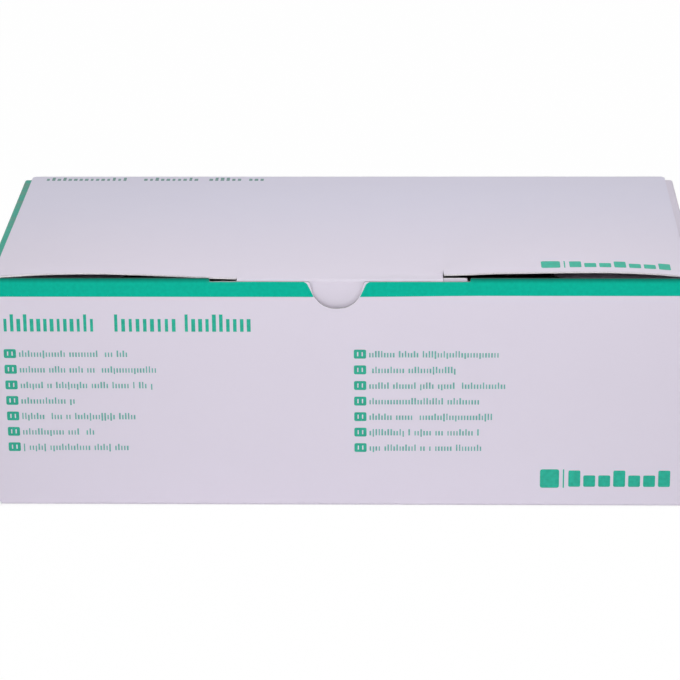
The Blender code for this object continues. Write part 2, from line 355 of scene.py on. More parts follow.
@dataclass(frozen=True)
class CartonSizes:
    """The carton's sizes in metres, read from the frame where it gives them."""

    half_length: float
    half_depth: float
    hinge_y: float
    hinge_z: float
    board: float = 0.6 * MM
    skin: float = 0.03 * MM
    bend_radius: float = 0.7 * MM
    glue_line: float = 0.1 * MM
    crease_relief: float = 1.2 * MM
    lid_gap: float = 0.3 * MM
    recess_drop: float = 0.4 * MM
    rim_rise: float = 0.8 * MM
    recess_half: float = 43 * MM
    recess_corner: float = 0.4 * MM
    notch_top: float = 18.0 * MM
    notch_bottom: float = 13.0 * MM
    notch_depth: float = 9.4 * MM
    notch_corner: float = 7.8 * MM
    notch_shoulder: float = 0.9 * MM
    notch_offset: float = -1.0 * MM
    band_height: float = 5.3 * MM
    lid_margin: float = 3.0 * MM
    crease_strip: float = 1.5 * MM
    wall_face: float = 0.9 * MM
    sharp: float = 0.1 * MM

    @classmethod
    def from_frame(cls, frame: dict[str, Any]) -> CartonSizes:
        """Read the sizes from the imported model.


        Returns:
            The sizes of this carton.
        """
        half_length, half_depth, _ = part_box("carton_body")[1]
        _, hinge_y, hinge_z = frame["joints"][0]["pos_m"]
        return cls(half_length, half_depth, hinge_y, hinge_z)

    @property
    def half_board(self) -> float:
        """Half the board's thickness."""
        return self.board / 2

    @property
    def shown_board(self) -> float:
        """The thickness that the board is drawn with."""
        return self.board - 2 * self.skin

    @property
    def layer(self) -> float:
        """The step from one glued layer of board to the next."""
        return self.board + self.glue_line

    @property
    def corner(self) -> float:
        """How much of a wall a corner crease takes up."""
        return self.half_board + self.bend_radius

    @property
    def top(self) -> float:
        """The level of the closed lid's upper side."""
        return self.hinge_z + self.half_board

    @property
    def recess_rim(self) -> float:
        """The level of the front rim where the lid's fold crosses it."""
        return self.top - self.recess_drop

    @property
    def front_rim(self) -> float:
        """The level of the front rim outside its recess."""
        return self.top + self.rim_rise

    @property
    def band_foot(self) -> float:
        """The lower edge of the printed band."""
        return self.recess_rim - self.band_height

    @property
    def face_y(self) -> float:
        """How far the shown face of the front and back walls lies from the middle."""
        return self.half_depth - self.skin

    @property
    def back_rim(self) -> float:
        """The level at which the back wall hands over to the hinge crease."""
        return self.top - self.crease_strip

    @property
    def dust_level(self) -> float:
        """The level of the dust flaps' middle, under the lid."""
        return self.hinge_z - self.board - self.lid_gap

    def on_front(self, y: Field) -> Field:
        """Return where a finish lies in the front wall's outer face."""
        return (-y).ramp(self.half_depth - self.wall_face, self.half_depth - self.wall_face + self.sharp)

    def under_wings(self, x: Field, y: Field, z: Field, low: float, high: float) -> Field:
        """Return how far the lifted wings keep the light off the front rim, outside its recess.

        Args:
            x: The place across the carton.
            y: The place from front to back.
            z: The height.
            low: The level where the shade starts.
            high: The level where it is full.

        Returns:
            The share of shade, from 0 to 1.
        """
        outside = abs(x).ramp(self.recess_half - self.sharp, self.recess_half + self.sharp)
        return outside * self.on_front(y) * z.ramp(low, high)


@dataclass(frozen=True)
class Inks:
    """The colours of the board and its inks, with painted shades of some of them."""

    white: Colour = from_srgb(216, 209, 223)
    reverse: Colour = from_srgb(196, 192, 192)
    core: Colour = from_srgb(232, 228, 234)
    shaded_core: Colour = from_srgb(140, 140, 138)
    band: Colour = from_srgb(2, 176, 151)
    worn_and_shaded_band: Colour = from_srgb(84, 152, 138)
    wing_shadow_green: Colour = from_srgb(4, 62, 52)
    scuffed_band: Colour = from_srgb(132, 136, 128)
    title: Colour = from_srgb(42, 170, 146)
    dull_title: Colour = from_srgb(110, 146, 142)
    words: Colour = from_srgb(104, 169, 161)
    tags: Colour = from_srgb(47, 165, 140)


class Stock:
    """A kind of board whose finish can be used plain or painted over."""

    def start(self) -> tuple[Finish, bpy.types.NodeSocket]:
        """Return the finish, and the socket of its mottled colour."""
        raise NotImplementedError

    def make(self) -> bpy.types.Material:
        """Return the plain finish."""
        return self.start()[0].material


@dataclass(frozen=True)
class CoatedBoard(Stock):
    """White board with a smooth coating, as it shows where nothing is printed."""

    name: str
    colour: Colour
    roughness: float = 0.42
    coat: float = 0.02
    shine: float = 0.15
    cloud_size: float = 45 * MM
    cloud_share: float = 0.35
    cloud_tones: tuple[float, float] = (0.975, 1.02)
    specks: Patches = Patches(size=1.1 * MM, detail=2.0, low=0.62, high=0.8, share=0.25)
    speck_tone: float = 0.93
    fibre_size: float = 0.6 * MM
    fibre_stretch: tuple[float, float, float] = (1.0, 0.45, 0.45)
    fibre_height: float = 0.35
    wave_size: float = 22 * MM
    wave_height: float = 6.0
    gloss_size: float = 9 * MM
    gloss_spread: float = 0.14
    relief: float = 0.02 * MM

    def start(self) -> tuple[Finish, bpy.types.NodeSocket]:
        """Begin the finish with its paper grain.

        Returns:
            The finish, and the socket of its mottled colour.
        """
        finish = Finish(self.name)
        cloud = (finish.mottle(self.cloud_size, 3.0) - 0.5) * self.cloud_share + 0.5
        tint = finish.blend(cloud, *(shade(self.colour, tone) for tone in self.cloud_tones))
        tint = finish.blend(self.specks.on(finish), tint, shade(self.colour, self.speck_tone))
        fibre = finish.mottle(self.fibre_size, 3.0, self.fibre_stretch) * self.fibre_height
        finish.relief(fibre + finish.mottle(self.wave_size, 1.0) * self.wave_height, self.relief)
        gloss = (finish.mottle(self.gloss_size, 3.0) - 0.5) * self.gloss_spread
        finish.set(Base_Color=tint, Roughness=gloss + self.roughness)
        finish.set(Coat_Weight=self.coat, Coat_Roughness=0.3, Specular_IOR_Level=self.shine)
        return finish, tint


@dataclass(frozen=True)
class RawBoard(Stock):
    """The uncoated side of the board, or its cut edge, with loose fibres of some size."""

    name: str
    colour: Colour
    fibre: float
    stretch: tuple[float, float, float] = (1.0, 0.3, 0.6)
    tones: tuple[float, float] = (0.9, 1.05)
    fleck_scale: float = 3.0
    fleck_tone: float = 0.7
    relief: float = 0.06 * MM
    roughness: float = 0.75
    rough_spread: float = 0.15

    def start(self) -> tuple[Finish, bpy.types.NodeSocket]:
        """Begin the finish with its fibres.

        Returns:
            The finish, and the socket of its mottled colour.
        """
        finish = Finish(self.name)
        strand = finish.mottle(self.fibre, 4.0, self.stretch)
        tint = finish.blend(strand.ramp(0.3, 0.7), *(shade(self.colour, tone) for tone in self.tones))
        flecks = Patches(size=self.fibre * self.fleck_scale, detail=1.0, low=0.68, high=0.74, share=0.5)
        tint = finish.blend(flecks.on(finish), tint, shade(self.colour, self.fleck_tone))
        finish.relief(strand, self.relief)
        finish.set(Base_Color=tint, Roughness=strand * self.rough_spread + self.roughness)
        return finish, tint


@dataclass(frozen=True)
class Ink:
    """A flat ink on the coated board."""

    name: str
    colour: Colour
    patchy: float = 0.1
    patch_size: float = 1.6 * MM
    grain_size: float = 0.6 * MM
    relief: float = 0.01 * MM
    roughness: float = 0.36
    rough_spread: float = 0.12
    shine: float = 0.16

    def make(self) -> bpy.types.Material:
        """Make the finish.

        Returns:
            The material.
        """
        finish = Finish(self.name)
        cover = finish.mottle(self.patch_size, 3.0)
        dark, light = shade(self.colour, 1.0 - self.patchy), shade(self.colour, 1.0 + self.patchy)
        finish.set(Base_Color=finish.blend(cover.ramp(0.3, 0.7), dark, light))
        rough = cover * self.rough_spread + self.roughness
        finish.set(Roughness=rough, Specular_IOR_Level=self.shine)
        finish.relief(finish.mottle(self.grain_size, 3.0), self.relief)
        return finish.material


@dataclass(frozen=True)
class CartonEdge:
    """The carton's cut edge, painted darker than the lid's as shade, and with painted shadow along the rim
    under the lid's wings.
    """

    sizes: CartonSizes
    inks: Inks
    fibre: float = 0.4 * MM
    shade_start: float = 0.2 * MM
    shade_share: float = 0.95

    def make(self) -> bpy.types.Material:
        """Make the finish.

        Returns:
            The material.
        """
        low = self.sizes.front_rim - self.shade_start
        # Painted shade: the carton's cut edges take a darker copy of the core's colour than the lid's.
        finish, tint = RawBoard("carton_cut_edge", self.inks.shaded_core, self.fibre).start()
        # Painted shadow of the lifted wings on the rim's cut edge.
        share = self.sizes.under_wings(*finish.split(finish.place), low, low + self.sizes.sharp)
        finish.set(Base_Color=finish.blend(share * self.shade_share, tint, self.inks.wing_shadow_green))
        return finish.material


@dataclass(frozen=True)
class BandedBoard:
    """Coated board with the green band along the top of the front and round the left corner, with painted
    shade on the band's side, beside the lid and under the lid's wings.
    """

    sizes: CartonSizes
    inks: Inks
    bleed: float = 7 * MM
    print_edge: float = 0.04 * MM
    skew: float = 0.45 * MM
    skew_reach: float = 50 * MM
    margin_foot: float = 7.6 * MM
    margin_slope: float = 0.46
    margin_curve: float = 0.8 / MM
    curve_depth: float = 1.0 * MM
    ink_patch: float = 1.3 * MM
    ink_tones: tuple[float, float] = (0.93, 1.05)
    side_face: float = 0.4 * MM
    side_shade_share: float = 0.55
    scuff_reach: tuple[float, float] = (-10 * MM, 20 * MM)
    scuffs: Patches = Patches(size=9 * MM, detail=3.0, low=0.42, high=0.62, share=0.5)
    worn_depth: float = 0.5 * MM
    worn_length: float = 9 * MM
    worn_edge: float = 1.5 * MM
    worn_share: float = 0.6
    shade_depth: float = 2.0 * MM
    shade_over: float = 0.5 * MM
    shade_share: float = 0.85
    strip_depth: float = 4 * MM
    strip: tuple[float, float] = (30 * MM, -10 * MM)
    strip_shade: Colour = (0.91, 0.91, 0.91)
    rubs: Patches = Patches(size=4 * MM, detail=4.0, low=0.5, high=0.68, share=0.35)
    rub_x: tuple[float, float] = (0.55 * MM, 0.25 * MM)
    rub_y: tuple[float, float] = (0.9 * MM, 0.5 * MM)
    rub_tone: float = 1.05

    def band_area(self, x: Field, z: Field, front: Field, left: Field) -> Field:
        """Return where the band is printed.

        Args:
            x: The place across the carton.
            z: The height.
            front: Where the front wall's face is.
            left: Where the left end and the corner beside it are.

        Returns:
            1 on the band, which keeps clear of the notch, and 0 elsewhere.
        """
        sizes, soft = self.sizes, self.print_edge
        risen = z - x.ramp(0.0, self.skew_reach) * self.skew
        level = risen.ramp(sizes.band_foot - soft, sizes.band_foot + soft)
        near_rim = (z - (sizes.recess_rim - self.curve_depth)).most(0.0)
        margin = (z - sizes.band_foot) * self.margin_slope + near_rim * near_rim * self.margin_curve
        clear = (abs(x - sizes.notch_offset) - (margin + self.margin_foot)).ramp(-soft, soft)
        return level * (front * clear).most(left)

    def band_ink(self, finish: Finish, x: Field, y: Field, z: Field, front: Field,
                 left: Field) -> bpy.types.NodeSocket:
        """Return the band's colour.

        Args:
            finish: The finish that it belongs to.
            x: The place across the carton.
            y: The place from front to back.
            z: The height.
            front: Where the front wall's face is.
            left: Where the left end and the corner beside it are.

        Returns:
            The colour: with painted shade at the side, scuffed at the left, worn at the recess, and with
                painted shadow under the wings.
        """
        sizes, inks = self.sizes, self.inks
        cover = finish.mottle(self.ink_patch, 3.0)
        ink = finish.blend(cover.ramp(0.25, 0.75), *(shade(inks.band, tone) for tone in self.ink_tones))
        # Painted shade: the band off the front face is made duller than on the front; the same colour also
        # shows real wear at the recess.
        at_side = (-x).ramp(sizes.half_length - sizes.wall_face, sizes.half_length - self.side_face)
        ink = finish.blend(at_side.most(1.0 - front) * self.side_shade_share, ink, inks.worn_and_shaded_band)
        scuffed = left * y.ramp(*self.scuff_reach) * self.scuffs.on(finish)
        ink = finish.blend(scuffed, ink, inks.scuffed_band)
        worn = z.ramp(sizes.recess_rim - self.worn_depth, sizes.recess_rim) * front * cover.ramp(0.3, 0.6)
        worn = worn * x.band(-sizes.recess_half, -sizes.recess_half + self.worn_length, self.worn_edge)
        ink = finish.blend(worn * self.worn_share, ink, inks.worn_and_shaded_band)
        # Painted shadow of the lifted wings on the band below the rim, outside the recess.
        rim = sizes.front_rim
        shaded = sizes.under_wings(x, y, z, rim - self.shade_depth, rim + self.shade_over)
        return finish.blend(shaded * self.shade_share, ink, inks.wing_shadow_green)

    def make(self) -> bpy.types.Material:
        """Make the finish.

        Returns:
            The material.
        """
        sizes = self.sizes
        finish, tint = CoatedBoard("printed_carton_board", self.inks.white, coat=0.0, shine=0.07).start()
        x, y, z = finish.split(finish.place)
        front = sizes.on_front(y)
        corner = sizes.half_length - self.bleed
        left = (-x).ramp(corner, corner + sizes.sharp)
        # Painted shadow of the lifted right wing on the strip beside the lid, darker toward the front.
        lid_end = sizes.half_length - sizes.lid_margin
        shade_beside_lid = x.ramp(lid_end - sizes.sharp, lid_end) * z.above(sizes.top - self.strip_depth)
        tint = finish.tinted(shade_beside_lid * y.ramp(*self.strip), tint, self.strip_shade)
        ink = self.band_ink(finish, x, y, z, front, left)
        tint = finish.blend(self.band_area(x, z, front, left), tint, ink)
        upright = abs(x).ramp(*(sizes.half_length - inset for inset in self.rub_x))
        upright = upright * abs(y).ramp(*(sizes.half_depth - inset for inset in self.rub_y))
        bare = shade(self.inks.core, self.rub_tone)
        finish.set(Base_Color=finish.blend(upright * self.rubs.on(finish), tint, bare))
        return finish.material


@dataclass(frozen=True)
class LidBoard:
    """Coated board of the lid: with a painted cooler light toward the hinge, and painted shade where the fold
    is bent.
    """

    sizes: CartonSizes
    inks: Inks
    half_fold: float
    cool_light_tint: Colour = (1.01, 1.046, 1.077)
    cool_light_reach: tuple[float, float] = (-50 * MM, 40 * MM)
    fold_shade: Colour = (0.87, 0.87, 0.87)
    bent_y: tuple[float, float] = (1.9 * MM, 1.4 * MM)
    bent_z: tuple[float, float] = (1.1 * MM, 0.7 * MM)
    bent_end: float = 0.5 * MM

    def make(self) -> bpy.types.Material:
        """Make the finish.

        Returns:
            The material.
        """
        finish, tint = CoatedBoard("lid_coated_board", self.inks.white).start()
        x, y, z = finish.split(finish.place)
        # Painted light: a cooler tint toward the hinge stands in for the cooler light that falls there.
        tint = finish.tinted(y.ramp(*self.cool_light_reach), tint, self.cool_light_tint)
        # Painted shade on the lid's front fold, darkened where it is bent.
        bent = (-y).ramp(*(self.sizes.half_depth - inset for inset in self.bent_y))
        bent = bent * z.ramp(*(self.sizes.top - inset for inset in self.bent_z))
        bent = bent * abs(x).ramp(self.half_fold, self.half_fold - self.bent_end)
        finish.set(Base_Color=finish.tinted(bent, tint, self.fold_shade))
        return finish.material


@dataclass(frozen=True)
class BoardFinishes:
    """The three finishes of a sheet: printed side, reverse and cut edge."""

    printed: bpy.types.Material
    reverse: bpy.types.Material
    cut_edge: bpy.types.Material

    def of(self, side: Side) -> bpy.types.Material:
        """Return the finish of one side."""
        return {Side.PRINTED: self.printed, Side.REVERSE: self.reverse, Side.CUT_EDGE: self.cut_edge}[side]


def placed(name: str, data: bpy.types.ID) -> bpy.types.Object:
    """Put a mesh, a lamp or a camera into the scene.

    Args:
        name: The new object's name.
        data: Its mesh, lamp or camera.

    Returns:
        The new object.
    """
    item = bpy.data.objects.new(name, data)
    bpy.context.scene.collection.objects.link(item)
    return item


def from_bmesh(name: str, mesh: bmesh.types.BMesh) -> bpy.types.Object:
    """Put a bmesh's shape into the scene, and free the bmesh.

    Args:
        name: The new object's name.
        mesh: The bmesh.

    Returns:
        The new object.
    """
    data = bpy.data.meshes.new(name)
    mesh.to_mesh(data)
    mesh.free()
    return placed(name, data)


def from_lists(name: str, points: Sequence, edges: Sequence = (), faces: Sequence = ()) -> bpy.types.Object:
    """Put a mesh made of lists into the scene.

    Args:
        name: The new object's name.
        points: The places of its points.
        edges: Its loose edges, as pairs of the points' indices.
        faces: Its faces, as the points' indices.

    Returns:
        The new object.
    """
    data = bpy.data.meshes.new(name)
    data.from_pydata(points, edges, faces)
    return placed(name, data)


def settle(item: bpy.types.Object, finishes: Sequence[bpy.types.Material]) -> None:
    """Turn an object's modifiers into plain mesh.

    Args:
        item: The object.
        finishes: The materials of the result's slots.
    """
    graph = bpy.context.evaluated_depsgraph_get()
    made = bpy.data.meshes.new_from_object(item.evaluated_get(graph), depsgraph=graph)
    item.modifiers.clear()
    item.data = made
    made.name = item.name
    sides = [face.material_index if len(finishes) > 1 else 0 for face in made.polygons]
    made.materials.clear()
    for finish in finishes:
        made.materials.append(finish)
    made.polygons.foreach_set("material_index", sides)


def thicken(item: bpy.types.Object, thickness: float, finishes: BoardFinishes) -> None:
    """Give a middle surface the thickness of board, with its three finishes.

    Args:
        item: The object whose mesh is the middle surface.
        thickness: The board's thickness.
        finishes: What its sides look like.
    """
    sides = [finishes.of(side) for side in Side]
    item.data.materials.clear()
    for finish in sides:
        item.data.materials.append(finish)
    board = item.modifiers.new("board", "SOLIDIFY")
    board.thickness = thickness
    board.offset = 0.0
    board.use_even_offset = True
    board.material_offset = Side.REVERSE.value
    board.material_offset_rim = Side.CUT_EDGE.value
    settle(item, sides)
    item.data.shade_smooth()
    item.data.set_sharp_from_angle(angle=math.radians(35))


def rounded(corners: Sequence[Sequence[float]], steps: int = 8) -> list[Vector]:
    """Round the corners of an outline.

    Args:
        corners: The corners as x, y and radius.
        steps: The facets of a rounded corner.

    Returns:
        The points of the outline.
    """
    points = []
    for index, (x, y, radius) in enumerate(corners):
        here = Vector((x, y))
        if radius <= 0.0:
            points.append(here)
            continue
        before = (Vector(corners[index - 1][:2]) - here).normalized()
        after = (Vector(corners[(index + 1) % len(corners)][:2]) - here).normalized()
        half = before.angle(after) / 2
        centre = here + (before + after).normalized() * (radius / math.sin(half))
        start = here + before * (radius / math.tan(half)) - centre
        turn = math.copysign(math.pi - 2 * half, -before.cross(after))
        points += [centre + Matrix.Rotation(turn * step / steps, 2) @ start for step in range(steps + 1)]
    return points


def cells(start: float, end: float, size: float) -> list[float]:
    """Return the places that divide a span into equal cells of about a size, without its ends."""
    count = max(1, math.ceil((end - start) / size))
    return [start + (end - start) * step / count for step in range(1, count)]


class Panel:
    """A flat stretch of board: x runs along its crease, y away from it, and its normal to the outside."""

    def __init__(self, origin: Sequence[float], along: Sequence[float], away: Sequence[float]) -> None:
        """Place the panel.

        Args:
            origin: The start of its crease.
            along: The direction of its x.
            away: The direction of its y.
        """
        self.origin = Vector(origin)
        self.along = Vector(along)
        self.away = Vector(away)
        self.normal = self.along.cross(self.away)

    def point(self, x: float, y: float) -> Vector:
        """Return the place in space of a point of the panel."""
        return self.origin + self.along * x + self.away * y


class BoardSheet:
    """One sheet of board, folded as its middle surface and then given its thickness."""

    def __init__(self, bend_radius: float, bend_steps: int = 8) -> None:
        """Start an empty sheet.

        Args:
            bend_radius: The radius of a crease's middle.
            bend_steps: The facets of a quarter bend.
        """
        self.bend_radius = bend_radius
        self.bend_steps = bend_steps
        self.mesh = bmesh.new()

    def face(self, points: Iterable[Vector]) -> None:
        """Add one face through some points."""
        self.mesh.faces.new([self.mesh.verts.new(point) for point in points])

    def fill(self, panel: Panel, outline: Iterable[Sequence[float]]) -> None:
        """Add the face that an outline cuts from a panel."""
        self.face([panel.point(x, y) for x, y in outline])

    def bend(self, origin: Vector, out: Vector, normal: Vector, ends: Sequence[Vector]) -> list[Vector]:
        """Add a quarter bend.

        Args:
            origin: Where the flat panel ends.
            out: The direction in which it was going.
            normal: The panel's outward direction.
            ends: Offsets of the two ends of the crease.

        Returns:
            The two ends of the bend's far edge.
        """
        rows = []
        for step in range(self.bend_steps + 1):
            angle = math.pi / 2 * step / self.bend_steps
            reach = out * math.sin(angle) - normal * (1 - math.cos(angle))
            rows.append([origin + reach * self.bend_radius + end for end in ends])
        for low, high in zip(rows, rows[1:]):
            self.face([low[0], low[1], high[1], high[0]])
        return rows[-1]

    def flap(self, panel: Panel, start: Sequence[float], end: Sequence[float]) -> Panel:
        """Fold a flap in along one edge of a panel.

        Args:
            panel: The panel that carries the flap.
            start: The start of the edge on that panel.
            end: Its end.

        Returns:
            The flap's own panel.
        """
        first, last = panel.point(*start), panel.point(*end)
        edge = (last - first).normalized()
        far = self.bend(last, edge.cross(panel.normal), panel.normal, [Vector(), first - last])
        return Panel(far[0], -edge, -panel.normal)

    def score(self, places: Iterable[float], axis: int) -> None:
        """Cut the sheet's faces along planes, so that it can bend there.

        Args:
            places: Where the planes cross the axis.
            axis: 0, 1 or 2 for x, y or z.
        """
        normal = Vector([float(axis == index) for index in range(3)])
        for place in places:
            whole = self.mesh.verts[:] + self.mesh.edges[:] + self.mesh.faces[:]
            bmesh.ops.bisect_plane(self.mesh, geom=whole, dist=WELD, plane_co=normal * place, plane_no=normal)

    def flat_object(self, name: str, outside: Sequence[float]) -> bpy.types.Object:
        """Return the sheet's middle surface as an object.

        Args:
            name: The object's name.
            outside: A direction whose outermost face has its printed side outward.

        Returns:
            The object, with its faces turned to the printed side.
        """
        bmesh.ops.remove_doubles(self.mesh, verts=self.mesh.verts, dist=WELD)
        bmesh.ops.recalc_face_normals(self.mesh, faces=self.mesh.faces)
        way = Vector(outside)
        outermost = max(self.mesh.faces, key=lambda face: face.calc_center_median().dot(way))
        if outermost.normal.dot(way) < 0.0:
            bmesh.ops.reverse_faces(self.mesh, faces=self.mesh.faces)
        return from_bmesh(name, self.mesh)


@dataclass
class CartonBody:
    """The glued carton under its lid: four walls, base flaps, dust flaps and the side seam."""

    sizes: CartonSizes
    finishes: BoardFinishes
    seam_width: float = 14 * MM
    seam_taper: float = 5 * MM
    seam_step: float = 1.0 * MM
    seam_cut_back: float = 0.3 * MM
    dust_length: float = 48 * MM
    dust_corner: float = 9 * MM
    dust_step: float = 4 * MM
    dust_front: float = 3.2 * MM
    inner_base: float = 84 * MM
    end_base: float = 46 * MM
    base_margin: float = 0.8 * MM
    base_taper: float = 2.5 * MM
    base_corner: float = 5 * MM
    cell: float = 14 * MM
    edge_line: float = 0.35 * MM

    def __post_init__(self) -> None:
        """Start the sheet."""
        self.sheet = BoardSheet(self.sizes.bend_radius)
        self.foot = self.sizes.corner
        self.crease_top = self.sizes.dust_level - self.sizes.bend_radius

    def walls(self) -> dict[str, tuple[Panel, float]]:
        """Walk round the carton, and make the corner creases on the way.

        Returns:
            Each wall's panel and length.
        """
        sizes = self.sizes
        seam_x = sizes.half_length - sizes.half_board - sizes.layer
        place = Vector((seam_x, sizes.half_depth - sizes.corner - self.seam_width, 0))
        heading, upward = Vector((0, 1, 0)), Vector((0, 0, 1))
        ends = [upward * self.foot, upward * self.crease_top]
        end = 2 * sizes.half_depth - 2 * sizes.corner
        stretches = {
            "seam": self.seam_width,
            "back": 2 * sizes.half_length - sizes.layer - 2 * sizes.corner,
            "left": end,
            "front": 2 * sizes.half_length - 2 * sizes.corner,
            "right": end + sizes.corner - self.seam_cut_back,
        }
        made = {}
        for name, length in stretches.items():
            made[name] = (Panel(place, heading, upward), length)
            if name == "right":
                break
            normal = heading.cross(upward)
            far = self.sheet.bend(place + heading * length, heading, normal, ends)
            place = Vector((far[0].x, far[0].y, 0))
            heading = -normal
        return made

    def wall_outline(self, length: float, crease: float, foot: float, rim: float, cut: Sequence = ()) -> list:
        """Return a wall's outline, stepped clear of the corner creases.

        Args:
            length: The wall's length between its corner creases.
            crease: The length of its own creases.
            foot: The level of its base crease.
            rim: The level of its rim or upper crease.
            cut: Points that replace the straight rim.

        Returns:
            The outline's points.
        """
        near, far = self.sizes.crease_relief, crease - self.sizes.crease_relief
        corners = [(0, self.foot), (near, self.foot), (near, foot), (far, foot), (far, self.foot)]
        corners += [(length, self.foot), (length, self.crease_top), (far, self.crease_top), (far, rim)]
        corners += [*cut, (near, rim), (near, self.crease_top), (0, self.crease_top)]
        return [point for index, point in enumerate(corners) if point != corners[index - 1]]

    def rim_cut(self, length: float) -> list[tuple[float, float]]:
        """Return the recess and the thumb notch in the front rim.

        Args:
            length: The front wall's length.

        Returns:
            The cut's points, from right to left.
        """
        sizes = self.sizes
        middle, floor = length / 2 + sizes.notch_offset, sizes.recess_rim - sizes.notch_depth
        stops = (
            (length / 2, sizes.recess_half, sizes.front_rim, sizes.recess_corner),
            (length / 2, sizes.recess_half, sizes.recess_rim, sizes.recess_corner),
            (middle, sizes.notch_top / 2, sizes.recess_rim, sizes.notch_shoulder),
            (middle, sizes.notch_bottom / 2, floor, sizes.notch_corner),
        )
        right = [(centre + half, level, radius) for centre, half, level, radius in stops]
        left = [(centre - half, level, radius) for centre, half, level, radius in reversed(stops)]
        points = rounded([(length, sizes.front_rim, 0), *right, *left, (0, sizes.front_rim, 0)])
        return [(point.x, point.y) for point in points[1:-1]]

    def base_flap(self, wall: Panel, length: float, foot: float, reach: float) -> None:
        """Fold a base flap in from the foot of a wall.

        Args:
            wall: The wall.
            length: The length of its creases.
            foot: The level of its base crease.
            reach: How far the flap reaches in.
        """
        relief = self.sizes.crease_relief
        flap = self.sheet.flap(wall, (relief, foot), (length - relief, foot))
        width = length - 2 * relief
        self.sheet.fill(flap, rounded([
            (0, 0, 0),
            (width, 0, 0),
            (width - self.base_taper, reach, self.base_corner),
            (self.base_taper, reach, self.base_corner),
        ]))

    def dust_flap(self, wall: Panel, length: float, front_at_start: bool) -> None:
        """Fold a dust flap in from the top of an end wall.

        Args:
            wall: The end wall.
            length: The length of its creases.
            front_at_start: Whether the flap's crease starts at the carton's front.
        """
        relief = self.sizes.crease_relief
        flap = self.sheet.flap(wall, (length - relief, self.crease_top), (relief, self.crease_top))
        width = length - 2 * relief
        reach = self.dust_length - self.sizes.corner
        front = self.dust_front - self.sizes.corner - relief
        corners = [
            (0, 0, 0),
            (width, 0, 0),
            (width, reach, self.dust_corner),
            (front, reach, self.dust_corner),
            (front, self.dust_step, 0),
            (0, self.dust_step - front, 0),
        ]
        if not front_at_start:
            corners = [(width - x, y, radius) for x, y, radius in reversed(corners)]
        self.sheet.fill(flap, rounded(corners))

    def build(self) -> bpy.types.Object:
        """Fold the carton.

        Returns:
            The dressed carton body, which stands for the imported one.
        """
        sizes = self.sizes
        walls = self.walls()
        back_foot = self.foot + sizes.layer
        end_foot = back_foot + sizes.layer
        seam, seam_length = walls["seam"]
        self.sheet.fill(seam, [
            (0, end_foot + sizes.layer + self.seam_taper),
            (seam_length - self.seam_step, end_foot + sizes.layer),
            (seam_length, self.foot),
            (seam_length, self.crease_top),
            (0, self.crease_top - self.seam_taper),
        ])
        end = walls["left"][1]
        cut = self.rim_cut(walls["front"][1])
        flaps = []
        for name, foot, rim, reach in (
            ("back", back_foot, sizes.back_rim, self.inner_base - sizes.corner),
            ("left", end_foot, self.crease_top, self.end_base - sizes.corner),
            ("front", self.foot, sizes.front_rim, 2 * sizes.half_depth - sizes.corner - self.base_margin),
            ("right", end_foot, self.crease_top, self.end_base - sizes.corner),
        ):
            wall, length = walls[name]
            crease = end if name == "right" else length
            rim_points = cut if name == "front" else ()
            self.sheet.fill(wall, self.wall_outline(length, crease, foot, rim, rim_points))
            flaps.append((wall, crease, foot, reach))
        back, left, front, right = flaps
        for flap in (front, back, left, right):
            self.base_flap(*flap)
        self.dust_flap(left[0], end, False)
        self.dust_flap(right[0], end, True)
        self.score_cells()
        body = self.sheet.flat_object("carton_board", (0, -1, 0))
        thicken(body, sizes.shown_board, self.finishes)
        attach(body, "carton")
        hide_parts("carton_body")
        return body

    def score_cells(self) -> None:
        """Cut the sheet into cells, with lines beside the creases that keep the walls' shading flat."""
        sizes = self.sizes
        near = sizes.corner + self.edge_line
        for axis, half in ((0, sizes.half_length), (1, sizes.half_depth)):
            inner = half - near
            self.sheet.score([-inner, *cells(-inner, inner, self.cell), inner], axis)
        low, high = self.foot + self.edge_line, self.crease_top - self.edge_line
        self.sheet.score([low, *cells(low, high, self.cell), high], 2)


